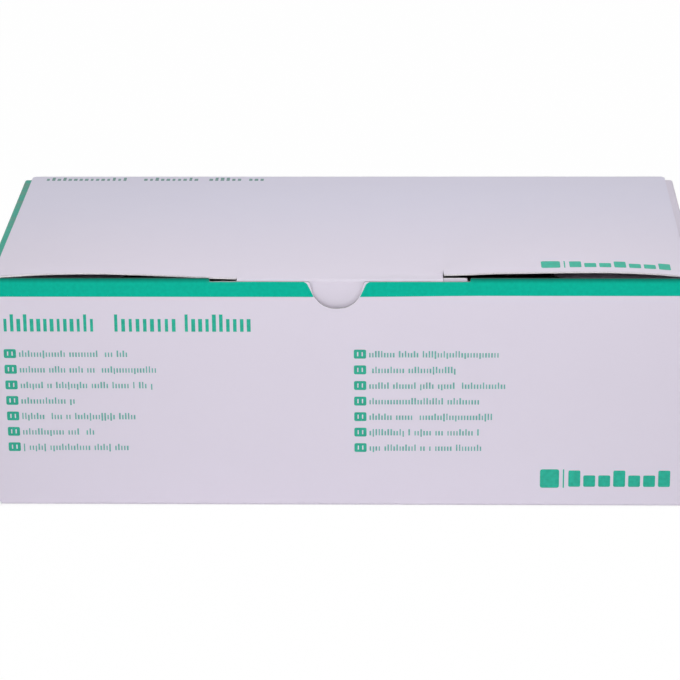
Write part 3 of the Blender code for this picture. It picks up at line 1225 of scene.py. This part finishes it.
class GeometryRule(TreeMaker):
    """A Geometry Nodes tree with named inputs for its sizes."""

    def __init__(self, name: str, finish: bpy.types.Material, sizes: dict[str, float]) -> None:
        """Start a tree.

        Args:
            name: The tree's name.
            finish: What its result is made of.
            sizes: The tree's inputs by name, with the values that it is run on.
        """
        super().__init__(bpy.data.node_groups.new(name, "GeometryNodeTree"))
        self.finish = finish
        self.sizes = sizes
        sockets = self.tree.interface
        sockets.new_socket("Geometry", in_out="INPUT", socket_type="NodeSocketGeometry")
        for label in sizes:
            sockets.new_socket(label, in_out="INPUT", socket_type="NodeSocketFloat")
        sockets.new_socket("Geometry", in_out="OUTPUT", socket_type="NodeSocketGeometry")
        self.start = self.node("NodeGroupInput")

    def size(self, label: str) -> Field:
        """Return one of the tree's inputs."""
        return Field(self, self.start.outputs[label])

    def shape(self, kind: str, source: Any = None, settings: Settings = None,
              **links: Any) -> bpy.types.NodeSocket:
        """Add a node that makes, changes or reads a shape.

        Args:
            kind: The node's type, without the first words that all of them have.
            source: The shape for its first socket, if it takes one.
            settings: Properties of the node.
            links: Values for its other sockets, with underscores for the spaces in their names.

        Returns:
            The node's first output.
        """
        named = {name.replace("_", " "): value for name, value in links.items()}
        first = {} if source is None else {0: source}
        return self.node("GeometryNode" + kind, settings, {**first, **named}).outputs[0]

    def chance(self, seed: int, low: float = 0.0, high: float = 1.0) -> Field:
        """Return a random number for each point, the same on every run."""
        links = {CHANCE_LOW: low, CHANCE_HIGH: high, CHANCE_SEED: seed}
        return self.field("FunctionNodeRandomValue", {"data_type": "FLOAT"}, links, CHANCE_RESULT)

    def close(self, result: bpy.types.NodeSocket) -> GeometryRule:
        """End the tree in real geometry of its finish.

        Args:
            result: The shape that it has made.

        Returns:
            The tree itself.
        """
        real = self.shape("RealizeInstances", result)
        dressed = self.shape("SetMaterial", real, Material=self.finish)
        self.node("NodeGroupOutput", {}, {0: dressed})
        return self

    def run_on(self, item: bpy.types.Object) -> bpy.types.Object:
        """Run the tree on an object.

        Args:
            item: The object.

        Returns:
            The same object, with the result as its plain mesh.
        """
        modifier = item.modifiers.new(self.tree.name, "NODES")
        modifier.node_group = self.tree
        for socket in self.tree.interface.items_tree:
            if socket.in_out == "INPUT" and socket.name in self.sizes:
                modifier[socket.identifier] = self.sizes[socket.name]
        settle(item, [self.finish])
        return item


@dataclass(frozen=True)
class Wing:
    """One free wing of the lid beside the joined crease: how it is cut, and how it has lifted.

    Places are shares of the way from the slit's inner end to the lid's end. A share of the rise, early_share,
    is over by early_place. The tear runs from the slit's inner end toward the hinge.
    """

    lift: float
    torn_lift: float
    rise_place: float
    peak_place: float
    early_share: float
    early_place: float
    fall: float
    shoulder_rise: float
    tear: float


LEFT_WING = Wing(lift=2.15 * MM, torn_lift=0.45 * MM, rise_place=0.0, peak_place=0.6, early_share=0.2,
                 early_place=0.25, fall=0.64, shoulder_rise=0.3 * MM, tear=0.8 * MM)
RIGHT_WING = Wing(lift=2.33 * MM, torn_lift=1.3 * MM, rise_place=0.1, peak_place=0.62, early_share=0.55,
                  early_place=0.25, fall=0.72, shoulder_rise=1.45 * MM, tear=4.0 * MM)


@dataclass
class LidBlank:
    """The flat blank of the lid: x across the carton, along from the hinge to the tuck's lower edge."""

    sizes: CartonSizes
    hinge_crease: float = 0.35 * MM
    joined_crease: float = 68 * MM
    slit: float = 0.5 * MM
    shoulder_reach: float = 8 * MM
    shoulder_drop: float = 6 * MM
    shoulder_corner: float = 0.5 * MM
    tuck_depth: float = 18 * MM
    tuck_margin: float = 4 * MM
    tuck_corner: float = 8 * MM
    tuck_clearance: float = 0.4 * MM
    lid_corner: float = 1.2 * MM
    crease_share: float = 1.6 * MM
    left: Wing = LEFT_WING
    right: Wing = RIGHT_WING
    cut_width: float = 0.12 * MM
    tear_lead: float = 1.2 * MM
    tear_slope: float = 0.9

    def __post_init__(self) -> None:
        """Work out where the blank bends."""
        sizes = self.sizes
        bend = sizes.bend_radius
        self.tuck_radius = 2 * sizes.half_depth - sizes.board - self.tuck_clearance - sizes.half_board
        self.bend_span = math.sqrt((self.tuck_radius - bend) ** 2 - bend ** 2)
        self.start_angle = math.asin(bend / (self.tuck_radius - bend))
        self.fold = self.bend_span - self.hinge_crease
        self.tuck_start = self.fold + bend * (math.pi / 2 - self.start_angle)
        self.tuck_end = self.tuck_start + self.tuck_depth - bend - sizes.half_board
        self.half_lid = sizes.half_length - sizes.lid_margin
        self.half_joined = self.joined_crease / 2
        self.half_shoulder = self.half_joined + self.shoulder_reach

    def wing(self, x: float) -> Wing:
        """Return the wing on the side of a place across the lid."""
        return self.left if x < 0 else self.right

    def shoulder_top(self, x: float) -> float:
        """Return how far along the blank the tuck flap's shoulder starts on that side."""
        return self.tuck_start - self.wing(x).shoulder_rise

    def side(self, sign: int) -> list[tuple[float, float, float]]:
        """Return the corners of one side of the blank, from the hinge to the tuck's edge.

        Args:
            sign: 1 for the right side, -1 for the left.

        Returns:
            The corners as x, along and radius.
        """
        top, joined = self.shoulder_top(sign), self.half_joined
        edge = top - self.slit
        torn = edge - self.wing(sign).tear
        cut, foot = joined + self.cut_width, self.tuck_start + self.shoulder_drop
        half_tuck = self.half_lid - self.tuck_margin
        corners = [
            (self.half_lid, self.crease_share, 0),
            (self.half_lid, edge, self.lid_corner),
            (joined + 2 * self.cut_width, edge, 0),
            (joined + 2 * self.cut_width, torn, 0),
            (joined, torn, 0),
            (joined, self.tuck_start, 0),
            (cut, self.tuck_start, 0),
            (cut, top, 0),
            (self.half_shoulder, top, self.shoulder_corner),
            (self.half_shoulder, foot, 0),
            (half_tuck, foot, 0),
            (half_tuck, self.tuck_end, self.tuck_corner),
        ]
        return [(sign * x, along, radius) for x, along, radius in corners]

    def outline(self) -> list[Vector]:
        """Return the blank's outline: panel, slits, shoulders and tuck flap."""
        return rounded(self.side(1) + self.side(-1)[::-1])

    def zone(self, x: float, along: float) -> Zone:
        """Return which stretch of the blank a point is on.

        Args:
            x: The point's place across the carton.
            along: Its place from the hinge.

        Returns:
            The stretch.
        """
        past_slit = abs(x) > self.half_joined + self.cut_width / 2
        standing = along > self.shoulder_top(x) - self.slit / 2
        on_shoulder = standing and past_slit and abs(x) < self.half_shoulder + WELD
        if not standing and (past_slit or along <= self.fold + WELD):
            return Zone.PANEL
        if along < self.tuck_start - WELD and not on_shoulder:
            return Zone.FOLD
        return Zone.TUCK

    def fold_rule(self, finish: bpy.types.Material) -> GeometryRule:
        """Write the rule that folds the blank and lifts its wings.

        Args:
            finish: What the folded sheet is made of.

        Returns:
            The rule, which works on anything drawn on the flat blank.
        """
        sizes = self.sizes
        rule = GeometryRule("lid_fold", finish, {
            "Bend radius": sizes.bend_radius,
            "Tuck radius": self.tuck_radius,
            "Bend place": self.bend_span,
            "Tuck start": self.tuck_start,
            "Left lift": self.left.lift,
            "Right lift": self.right.lift,
            "Joined half": self.half_joined,
        })
        x, along, rise = rule.split(rule.shape("InputPosition"))
        zone = rule.field("GeometryNodeInputNamedAttribute", {"data_type": "FLOAT"}, {"Name": "zone"})
        past_panel = zone.above((Zone.PANEL.value + Zone.FOLD.value) / 2)
        on_tuck = zone.above((Zone.FOLD.value + Zone.TUCK.value) / 2)
        on_panel, on_fold = 1.0 - past_panel, past_panel - on_tuck
        bend, tuck, span = rule.size("Bend radius"), rule.size("Tuck radius"), rule.size("Bend place")
        turn = (along - (span - self.hinge_crease)) / bend
        swing = (along - rule.size("Tuck start")) / tuck + self.start_angle
        flat_y, fold_y = -along - self.hinge_crease, -span - bend * turn.sine()
        y = flat_y * on_panel + fold_y * on_fold - tuck * swing.cosine() * on_tuck
        lift = self.lift(rule, x, along) + rise
        z = lift * on_panel + bend * (turn.cosine() - 1.0) * on_fold - tuck * swing.sine() * on_tuck
        moved = rule.combine(x, y + sizes.hinge_y, z + sizes.hinge_z)
        return rule.close(rule.shape("SetPosition", rule.start.outputs[0], Position=moved))

    def lift(self, rule: GeometryRule, x: Field, along: Field) -> Field:
        """Return how far the two free wings stand up beside the joined crease.

        Args:
            rule: The rule that needs it.
            x: The place across the carton.
            along: The place from the hinge.

        Returns:
            The lift, zero along the joined crease and along the hinge.
        """
        joined = rule.size("Joined half")
        out = (abs(x) - joined).most(0.0)
        place = out / (self.half_lid - joined)
        is_right = x.above(0.0)
        left = self.crown(self.left, place, out, along) * rule.size("Left lift") * (1.0 - is_right)
        right = self.crown(self.right, place, out, along) * rule.size("Right lift") * is_right
        return (left + right) * along.ramp(0.0, self.fold)

    def crown(self, wing: Wing, place: Field, out: Field, along: Field) -> Field:
        """Return the shape of a wing's lift along its front edge, 1 at its peak.

        Args:
            wing: The wing.
            place: How far out the point is, as a share of the wing's length.
            out: The same in metres.
            along: The place from the hinge.

        Returns:
            The lift as a share of the wing's greatest lift.
        """
        torn_share = wing.torn_lift / wing.lift
        steady = place.ramp(wing.rise_place, wing.peak_place)
        early = (place.ramp(0.0, wing.early_place) - steady) * wing.early_share
        behind = (self.fold - wing.tear - self.tear_lead - along).most(0.0)
        torn = (out / (behind * self.tear_slope + self.cut_width)).ramp(0.0, 1.0)
        past = ((place - wing.peak_place) / (1.0 - wing.peak_place)).most(0.0)
        return ((steady + early) * (1.0 - torn_share) + torn * torn_share) * (1.0 - past * past * wing.fall)


@dataclass
class Lid:
    """The lid panel with its slits, its shoulders and the tuck flap behind the front wall.

    Its scored lines are cells, with closer ones at the slits' ends and beside the fold.
    """

    blank: LidBlank
    finishes: BoardFinishes
    cell: float = 5 * MM
    right_lines: tuple[float, ...] = (0.24 * MM, 0.8 * MM, 1.6 * MM, 2.4 * MM, 3.2 * MM)
    left_lines: tuple[float, ...] = (0.24 * MM, 1.2 * MM, 2.4 * MM)
    edge_line: float = 0.35 * MM
    fold_steps: int = 8

    def build(self) -> bpy.types.Object:
        """Cut the blank, score it, fold it by its rule and give it its thickness.

        Returns:
            The dressed lid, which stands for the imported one.
        """
        blank, joined = self.blank, self.blank.half_joined
        fold, tuck = blank.fold, blank.tuck_start
        sheet = BoardSheet(blank.sizes.bend_radius)
        sheet.face([Vector((point.x, point.y, 0)) for point in blank.outline()])
        across = cells(-blank.half_lid, blank.half_lid, self.cell)
        across += [joined + line for line in self.right_lines] + [-joined - line for line in self.left_lines]
        sheet.score(across, 0)
        along = [*cells(blank.crease_share, fold, self.cell), fold - self.edge_line, fold]
        along += [*cells(fold, tuck, (tuck - fold) / self.fold_steps), tuck, tuck + self.edge_line]
        sheet.score(along + cells(tuck, blank.tuck_end, self.cell), 1)
        lid = sheet.flat_object("lid_board", (0, 0, 1))
        zones = lid.data.attributes.new("zone", "FLOAT", "POINT")
        for vertex, zone in zip(lid.data.vertices, zones.data):
            zone.value = float(blank.zone(vertex.co.x, vertex.co.y).value)
        blank.fold_rule(self.finishes.printed).run_on(lid)
        lid.data.flip_normals()
        thicken(lid, blank.sizes.shown_board, self.finishes)
        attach(lid, "lid")
        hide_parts("lid")
        return lid


@dataclass
class HingeCrease:
    """The folded strip of board that joins the back wall to the lid."""

    blank: LidBlank
    finishes: BoardFinishes
    turn: float = 0.6 * MM
    steps: int = 8
    columns: int = 40
    wall_inset: float = 1.0 * MM
    inset_rows: int = 2
    blend_lead: float = 0.1 * MM

    def __post_init__(self) -> None:
        """Find the strip's place on the back wall."""
        self.wall_y = self.blank.sizes.half_depth - self.blank.sizes.half_board

    def path(self) -> list[tuple[float, float]]:
        """Follow the strip's middle line.

        Returns:
            Its points as y and z, from the wall over the fold to the lid.
        """
        sizes, wall_y = self.blank.sizes, self.wall_y
        end_y = sizes.hinge_y - self.blank.hinge_crease - self.blank.crease_share
        turn_y, turn_z = wall_y - self.turn, sizes.hinge_z - self.turn
        line = [(wall_y, sizes.back_rim), (wall_y, (sizes.back_rim + turn_z) / 2)]
        for step in range(self.steps + 1):
            angle = math.pi / 2 * step / self.steps
            line.append((turn_y + self.turn * math.cos(angle), turn_z + self.turn * math.sin(angle)))
        return line + [((turn_y + end_y) / 2, sizes.hinge_z), (end_y, sizes.hinge_z)]

    def build(self) -> bpy.types.Object:
        """Make the strip.

        Returns:
            The piece.
        """
        sizes, path = self.blank.sizes, self.path()
        mesh = bmesh.new()
        rows = []
        for index, (y, z) in enumerate(path):
            inset = self.wall_inset * min(1.0, (len(path) - 1 - index) / self.inset_rows)
            half = self.blank.half_lid - inset
            spots = [half * (2 * column / self.columns - 1) for column in range(self.columns + 1)]
            rows.append([mesh.verts.new((x, y, z)) for x in spots])
        for low, high in zip(rows, rows[1:]):
            for column in range(self.columns):
                mesh.faces.new([low[column + 1], low[column], high[column], high[column + 1]])
        strip = from_bmesh("hinge_crease", mesh)
        thicken(strip, sizes.shown_board, self.finishes)
        start = (0.0, self.wall_y, sizes.hinge_z - self.turn - self.blend_lead)
        end = (0.0, self.wall_y - self.turn - self.blend_lead, sizes.hinge_z)
        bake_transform(strip)
        return strip


@dataclass(frozen=True)
class TypeSize:
    """The sizes of one kind of block row, which looks like type from a distance."""

    pitch: float
    block: float
    low_height: float
    tall_height: float
    drop: float
    tall_share: float = 0.3
    gap_share: float = 0.15
    seed: int = 3
    drop_share: float = 0.08
    spread: tuple[float, float] = (0.78, 1.12)


SMALL = TypeSize(pitch=0.98 * MM, block=0.52 * MM, low_height=1.6 * MM, tall_height=2.3 * MM, drop=0.5 * MM,
                 gap_share=0.1)
BOLD = TypeSize(pitch=2.15 * MM, block=1.2 * MM, low_height=4.5 * MM, tall_height=6.1 * MM, drop=0.0,
                tall_share=0.35, gap_share=0.0, seed=21)
FLAT_BOLD = TypeSize(pitch=1.95 * MM, block=1.2 * MM, low_height=2.4 * MM, tall_height=3.6 * MM, drop=0.0,
                     tall_share=0.45, gap_share=0.06, seed=21)


@dataclass
class Typesetter:
    """Sets rows of plain blocks along baselines."""

    ink_depth: float = 0.04 * MM

    def rule(self, name: str, size: TypeSize, finish: bpy.types.Material) -> GeometryRule:
        """Write the rule that sets blocks along baselines.

        Args:
            name: The rule's name.
            size: The blocks' sizes.
            finish: Their ink.

        Returns:
            The rule, which works on a mesh whose edges are the baselines.
        """
        rule = GeometryRule(name, finish, {
            "Pitch": size.pitch,
            "Block width": size.block,
            "Low height": size.low_height,
            "Tall height": size.tall_height,
            "Drop": size.drop,
            "Ink depth": self.ink_depth,
        })
        lines = rule.shape("MeshToCurve", rule.start.outputs[0])
        spots = rule.shape("CurveToPoints", lines, {"mode": "LENGTH"}, Length=rule.size("Pitch"))
        gap = 1.0 - rule.chance(size.seed).above(size.gap_share)
        kept = rule.shape("DeleteGeometry", spots, Selection=gap)
        dropped = rule.chance(size.seed + 1).above(1.0 - size.drop_share) * rule.size("Drop")
        lowered = rule.shape("SetPosition", kept, Offset=rule.combine(0.0, -dropped, 0.0))
        cube = rule.shape("MeshCube", Size=(1.0, 1.0, 1.0))
        stood = rule.shape("Transform", cube, Translation=(0.0, 0.5, 0.0))
        low, tall = rule.size("Low height"), rule.size("Tall height")
        height = low + (tall - low) * rule.chance(size.seed + 2).above(1.0 - size.tall_share) + dropped
        width = rule.size("Block width") * rule.chance(size.seed + 3, *size.spread)
        scale = rule.combine(width, height, rule.size("Ink depth"))
        return rule.close(rule.shape("InstanceOnPoints", lowered, Instance=stood, Scale=scale))

    def set(self, name: str, lines: Sequence[Sequence[float]], size: TypeSize,
            finish: bpy.types.Material) -> bpy.types.Object:
        """Set some rows, flat at z = 0.

        Args:
            name: The new object's name.
            lines: The baselines as start x, end x and y.
            size: The blocks' sizes.
            finish: Their ink.

        Returns:
            The object, still flat.
        """
        ends = [spot for start, end, level in lines for spot in ((start, level, 0.0), (end, level, 0.0))]
        item = from_lists(name, ends, [(2 * row, 2 * row + 1) for row in range(len(lines))])
        return self.rule(name, size, finish).run_on(item)


@dataclass(frozen=True)
class BarRow:
    """A block, a thin line and a row of bars, whose widths and levels are shares of their height."""

    x: float
    y: float
    height: float
    block: float = 0.95
    line: tuple[float, float] = (1.19, 1.26)
    first_bar: float = 1.48
    pitch: float = 0.74
    bar: float = 0.8
    foot: float = 0.06
    head: float = 0.94
    tops: tuple[float, ...] = (1.0, 0.72, 0.72, 1.0, 0.72, 0.72, 1.0)
    corner: float = 0.12
    corner_steps: int = 3

    def edges(self) -> list[tuple[float, float, float, float]]:
        """Lay out the row.

        Returns:
            The left, lower, right and upper edge of each part.
        """
        block, pitch = self.height * self.block, self.height * self.pitch
        upper = self.y + self.height
        line_start, line_end = (self.x + block * place for place in self.line)
        made = [(self.x, self.y, self.x + block, upper), (line_start, self.y, line_end, upper)]
        for index, top in enumerate(self.tops):
            left = self.x + block * self.first_bar + index * pitch
            foot, head = self.y + self.height * self.foot, self.y + self.height * self.head * top
            made.append((left, foot, left + pitch * self.bar, head))
        return made

    def build(self, name: str, depth: float, finish: bpy.types.Material) -> bpy.types.Object:
        """Make the row, with its corners rounded.

        Args:
            name: The new object's name.
            depth: The ink's depth.
            finish: The ink.

        Returns:
            The object, still flat, with its middle at z = 0.
        """
        mesh = bmesh.new()
        for left, low, right, high in self.edges():
            radius = min(right - left, high - low) * self.corner
            spots = ((left, low), (right, low), (right, high), (left, high))
            outline = rounded([(x, y, radius) for x, y in spots], self.corner_steps)
            lower = [mesh.verts.new((point.x, point.y, -depth / 2)) for point in outline]
            upper = [mesh.verts.new((point.x, point.y, depth / 2)) for point in outline]
            mesh.faces.new(upper)
            mesh.faces.new(lower[::-1])
            for index in range(len(outline)):
                after = (index + 1) % len(outline)
                mesh.faces.new([lower[index], lower[after], upper[after], upper[index]])
        item = from_bmesh(name, mesh)
        item.data.materials.append(finish)
        return item


@dataclass
class FrontPrint:
    """What is printed on the front wall: a bold row, two columns of tagged rows, and a row of bars.

    The ends of the rows are numbers of millimetres.
    """

    sizes: CartonSizes
    inks: Inks
    setter: Typesetter
    row_pitch: float = 5.623 * MM
    first_row: float = 55.1 * MM
    base_drop: float = 1.16 * MM
    left_start: float = -106.9 * MM
    left_ends: tuple[float, ...] = (-71.3, -61.8, -63.2, -89.5, -69.3, -83.4, -72.0)
    right_start: float = 9.8 * MM
    right_ends: tuple[float, ...] = (52.3, 38.0, 54.6, 45.9, 50.3, 45.9, 46.8)
    title_base: float = 63.0 * MM
    title_spans: tuple[tuple[float, float], ...] = ((-111.3, -82.5), (-74.4, -55.2), (-51.0, -30.3))
    tag_columns: tuple[float, float] = (-110.2 * MM, 6.5 * MM)
    tag_size: tuple[float, float] = (4.1 * MM, 3.2 * MM)
    tag_corner: float = 0.16
    stroke_size: tuple[float, float] = (0.4 * MM, 1.5 * MM)
    stroke_depth: float = 1.5
    stroke_shifts: tuple[float, float] = (-0.75 * MM, 0.75 * MM)
    bars: BarRow = BarRow(66.9 * MM, 6.75 * MM, 6.8 * MM)

    def onto_wall(self, item: bpy.types.Object, name: str) -> bpy.types.Object:
        """Move flat print onto the front wall's face and let it ride there.

        Args:
            item: The print.
            name: The piece's name.

        Returns:
            The piece.
        """
        stand = Matrix.Translation((0, -self.sizes.face_y, 0)) @ Matrix.Rotation(math.pi / 2, 4, "X")
        item.data.transform(stand)
        item.name = name
        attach(item, "carton")
        return item

    def rows(self) -> bpy.types.Object:
        """Print the rows of small blocks.

        Returns:
            The piece.
        """
        lines = []
        for row, (left, right) in enumerate(zip(self.left_ends, self.right_ends)):
            base = self.first_row - row * self.row_pitch - self.base_drop
            lines += [(self.left_start, left * MM, base), (self.right_start, right * MM, base)]
        ink = Ink("small_type_ink", self.inks.words).make()
        return self.onto_wall(self.setter.set("small_type", lines, SMALL, ink), "print_small_type")

    def title(self) -> bpy.types.Object:
        """Print the bold row.

        Returns:
            The piece.
        """
        lines = [(start * MM, end * MM, self.title_base) for start, end in self.title_spans]
        ink = Ink("title_ink", self.inks.title).make()
        return self.onto_wall(self.setter.set("title_type", lines, BOLD, ink), "print_title")

    def mark(self) -> bpy.types.Object:
        """Print the row of bars."""
        ink = Ink("mark_ink", self.inks.title).make()
        return self.onto_wall(self.bars.build("mark_bars", self.setter.ink_depth, ink), "print_mark")

    def tags(self) -> list[bpy.types.Object]:
        """Print a solid tag at the start of each row, with two light strokes on it.

        Returns:
            The two pieces: the tags and their strokes.
        """
        ink = Ink("tag_ink", self.inks.tags).make()
        pale = Ink("tag_mark_ink", shade(self.inks.white, 0.98)).make()
        made = []
        for name, finish, size, depth, shifts in (
            ("tags", ink, self.tag_size, 1.0, (0.0,)),
            ("tag_marks", pale, self.stroke_size, self.stroke_depth, self.stroke_shifts),
        ):
            starts = [(x + shift, self.first_row, 0.0) for x in self.tag_columns for shift in shifts]
            item = self.tag_rule(name, size, depth, finish).run_on(from_lists(name, starts))
            made.append(self.onto_wall(item, "print_" + name))
        return made

    def tag_rule(self, name: str, size: tuple[float, float], depth: float,
                 finish: bpy.types.Material) -> GeometryRule:
        """Write the rule that repeats one rounded tag down columns.

        Args:
            name: The rule's name.
            size: The tag's width and height.
            depth: Its ink's depth, as a share of the usual depth.
            finish: Its ink.

        Returns:
            The rule, which works on the middles of the columns' uppermost tags.
        """
        rule = GeometryRule(name, finish, {
            "Width": size[0],
            "Height": size[1],
            "Corner": min(size) * self.tag_corner,
            "Row pitch": self.row_pitch,
            "Ink depth": self.setter.ink_depth * depth,
        })
        ink_depth = rule.size("Ink depth")
        width, height = rule.size("Width"), rule.size("Height")
        frame = rule.shape("CurvePrimitiveQuadrilateral", Width=width, Height=height)
        smooth = rule.shape("FilletCurve", frame, {"mode": "POLY"}, Radius=rule.size("Corner"), Count=3)
        face = rule.shape("FillCurve", smooth, {"mode": "NGONS"})
        under = rule.shape("FlipFaces", face)
        block = rule.shape("ExtrudeMesh", face, Offset_Scale=ink_depth)
        whole = rule.node("GeometryNodeJoinGeometry")
        for part in (block, under):
            rule.feed(whole.inputs[0], part)
        closed = rule.shape("MergeByDistance", whole.outputs[0], Distance=WELD)
        tag = rule.shape("Transform", closed, Translation=rule.combine(0.0, 0.0, ink_depth * -0.5))
        down = rule.combine(0.0, -rule.size("Row pitch"), 0.0)
        column = rule.shape("MeshLine", Count=len(self.left_ends), Offset=down)
        columns = rule.shape("InstanceOnPoints", rule.start.outputs[0], Instance=column)
        spots = rule.shape("RealizeInstances", columns)
        return rule.close(rule.shape("InstanceOnPoints", spots, Instance=tag))

    def build(self) -> list[bpy.types.Object]:
        """Print the whole front."""
        return [self.rows(), self.title(), self.mark(), *self.tags()]


@dataclass
class LidPrint:
    """What is printed on the lid: a bold row near its hinge and a row of bars near its front edge.

    The ends of the bold row's spans are numbers of millimetres.
    """

    blank: LidBlank
    inks: Inks
    setter: Typesetter
    title_inset: float = 5.4 * MM
    title_spans: tuple[tuple[float, float], ...] = ((-109.0, -81.0), (-73.4, -55.0), (-49.6, -29.0))
    bars: BarRow = BarRow(66.5 * MM, 4.8 * MM, 6.65 * MM)

    def onto_lid(self, item: bpy.types.Object, name: str, finish: bpy.types.Material) -> bpy.types.Object:
        """Fold flat print with the lid, so that it follows the lifted wings.

        Args:
            item: The print in the lid's plane, y from the front edge to the hinge.
            name: The piece's name.
            finish: Its ink.

        Returns:
            The piece on the lid.
        """
        surface = self.blank.sizes.shown_board / 2
        turned = Matrix.Translation((0, self.blank.fold, surface)) @ Matrix.Diagonal((1, -1, 1, 1))
        item.data.transform(turned)
        self.blank.fold_rule(finish).run_on(item)
        item.name = name
        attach(item, "lid")
        return item

    def build(self) -> list[bpy.types.Object]:
        """Print the lid.

        Returns:
            The two pieces.
        """
        ink = Ink("lid_ink", self.inks.title).make()
        dull = Ink("dull_lid_ink", self.inks.dull_title).make()
        base = self.blank.fold - self.title_inset
        lines = [(start * MM, end * MM, base) for start, end in self.title_spans]
        title = self.setter.set("lid_title_type", lines, FLAT_BOLD, dull)
        mark = self.bars.build("lid_mark_bars", self.setter.ink_depth, ink)
        return [self.onto_lid(title, "print_lid_title", dull), self.onto_lid(mark, "print_lid_mark", ink)]


@dataclass(frozen=True)
class Viewpoint:
    """Where the camera stands: place in metres, angles in degrees, focal length in image widths."""

    place: tuple[float, float, float] = (0.0271, -0.9627, 0.4107)
    pitch: float = 21.13
    yaw: float = 1.717
    roll: float = -0.54
    focal: float = 2932.6 / 680
    sensor: float = 36.0
    clip: tuple[float, float] = (0.01, 50.0)

    def matrix(self) -> Matrix:
        """Work out the camera's place and directions.

        Returns:
            The camera object's matrix.
        """
        pitch, yaw, roll = (math.radians(value) for value in (self.pitch, self.yaw, self.roll))
        right = Vector((math.cos(yaw), math.sin(yaw), 0))
        ahead = Vector((-math.sin(yaw), math.cos(yaw), 0))
        forward = ahead * math.cos(pitch) - Vector((0, 0, math.sin(pitch)))
        upward = ahead * math.sin(pitch) + Vector((0, 0, math.cos(pitch)))
        across = right * math.cos(roll) + upward * math.sin(roll)
        raised = upward * math.cos(roll) - right * math.sin(roll)
        turned = Matrix((across, raised, -forward)).transposed().to_4x4()
        return Matrix.Translation(self.place) @ turned

    def set_up(self) -> None:
        """Put the camera there and look through it."""
        data = bpy.data.cameras.new("camera")
        data.sensor_width = self.sensor
        data.lens = self.focal * self.sensor
        data.clip_start, data.clip_end = self.clip
        camera = placed("camera", data)
        camera.matrix_world = self.matrix()
        bpy.context.scene.camera = camera


@dataclass(frozen=True)
class Lamp:
    """A square lamp that faces the carton: its place, its power in watts and its size."""

    name: str
    place: tuple[float, float, float]
    power: float
    size: float
    target: tuple[float, float, float] = (0.0, 0.0, 0.04)

    def hang(self) -> None:
        """Add the lamp to the scene."""
        data = bpy.data.lights.new(self.name, "AREA")
        data.energy, data.size = self.power, self.size
        lamp = placed(self.name, data)
        lamp.location = self.place
        toward = Vector(self.target) - Vector(self.place)
        lamp.rotation_euler = toward.to_track_quat("-Z", "Y").to_euler()


@dataclass(frozen=True)
class Studio:
    """A white floor, soft lamps and the camera."""

    view: Viewpoint = Viewpoint()
    lamps: tuple[Lamp, ...] = (
        Lamp("top_lamp", (0.03, -0.3, 0.52), 2.3, 0.3),
        Lamp("front_lamp", (-0.5, -1.4, 0.2), 2.3, 0.35),
        Lamp("side_lamp", (1.3, -0.7, 1.1), 1.5, 0.9),
    )
    world_light: float = 0.25
    floor_half: float = 4.0
    floor_grey: float = 0.9
    carton_half: tuple[float, float] = (0.116, 0.054)
    shadow_soft: float = 5 * MM
    shadow_glow: float = 0.69
    open_glow: float = 0.3

    def floor(self) -> None:
        """Lay the floor, which shows white and keeps the carton's shadow."""
        half = self.floor_half
        spots = [(-half, -half, 0), (half, -half, 0), (half, half, 0), (-half, half, 0)]
        floor = from_lists("floor", spots, [], [(0, 1, 2, 3)])
        finish = Finish("floor_white")
        finish.set(Base_Color=(self.floor_grey,) * 3, Roughness=0.9)
        glow = finish.node("ShaderNodeEmission", {}, {"Color": (1.0, 1.0, 1.0), "Strength": 1.0})
        x, y, _ = finish.split(finish.place)
        long, deep = self.carton_half
        beside = (abs(x) - long).most(abs(y) - deep).most(0.0).ramp(0.0, self.shadow_soft)
        share = finish.background_rays() * (beside * self.open_glow + self.shadow_glow)
        links = {0: share, 1: finish.shader.outputs[0], 2: glow.outputs[0]}
        mix = finish.node("ShaderNodeMixShader", {}, links)
        finish.feed(finish.tree.nodes["Material Output"].inputs["Surface"], mix.outputs[0])
        floor.data.materials.append(finish.material)

    def world(self) -> None:
        """Light the room evenly, and show it white behind the carton."""
        world = bpy.data.worlds.new("studio")
        world.use_nodes = True
        tree = TreeMaker(world.node_tree)
        background = world.node_tree.nodes["Background"]
        tree.feed(background.inputs["Color"], (1.0, 1.0, 1.0))
        strength = tree.background_rays() * (1.0 - self.world_light) + self.world_light
        tree.feed(background.inputs["Strength"], strength)
        bpy.context.scene.world = world

    def build(self) -> None:
        """Build the studio."""
        self.view.set_up()
        self.floor()
        self.world()
        for lamp in self.lamps:
            lamp.hang()
        bpy.context.scene.view_settings.view_transform = "Standard"


def corners(box: Sequence[Sequence[float]]) -> list[list[float]]:
    """Return a box as plain lists of numbers."""
    return [[float(value) for value in corner] for corner in box]


def main() -> None:
    """Build the carton on its frame, piece by piece."""
    logging.basicConfig(level=logging.INFO, format="%(name)s: %(message)s")
    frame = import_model()
    sizes = CartonSizes.from_frame(frame)
    inks = Inks()
    Studio().build()
    reverse = RawBoard("board_reverse", inks.reverse, 0.9 * MM).make()
    core = RawBoard("board_cut_edge", inks.core, 0.4 * MM).make()
    body_finishes = BoardFinishes(BandedBoard(sizes, inks).make(), reverse, CartonEdge(sizes, inks).make())
    blank = LidBlank(sizes)
    lid_finishes = BoardFinishes(LidBoard(sizes, inks, blank.half_joined).make(), reverse, core)
    setter = Typesetter()
    made = [
        CartonBody(sizes, body_finishes).build(),
        Lid(blank, lid_finishes).build(),
        HingeCrease(blank, lid_finishes).build(),
        *FrontPrint(sizes, inks, setter).build(),
        *LidPrint(blank, inks, setter).build(),
    ]
    for piece in made:
        LOG.info("%s: %d faces", piece.name, len(piece.data.polygons))


if __name__ == "__main__":
    main()
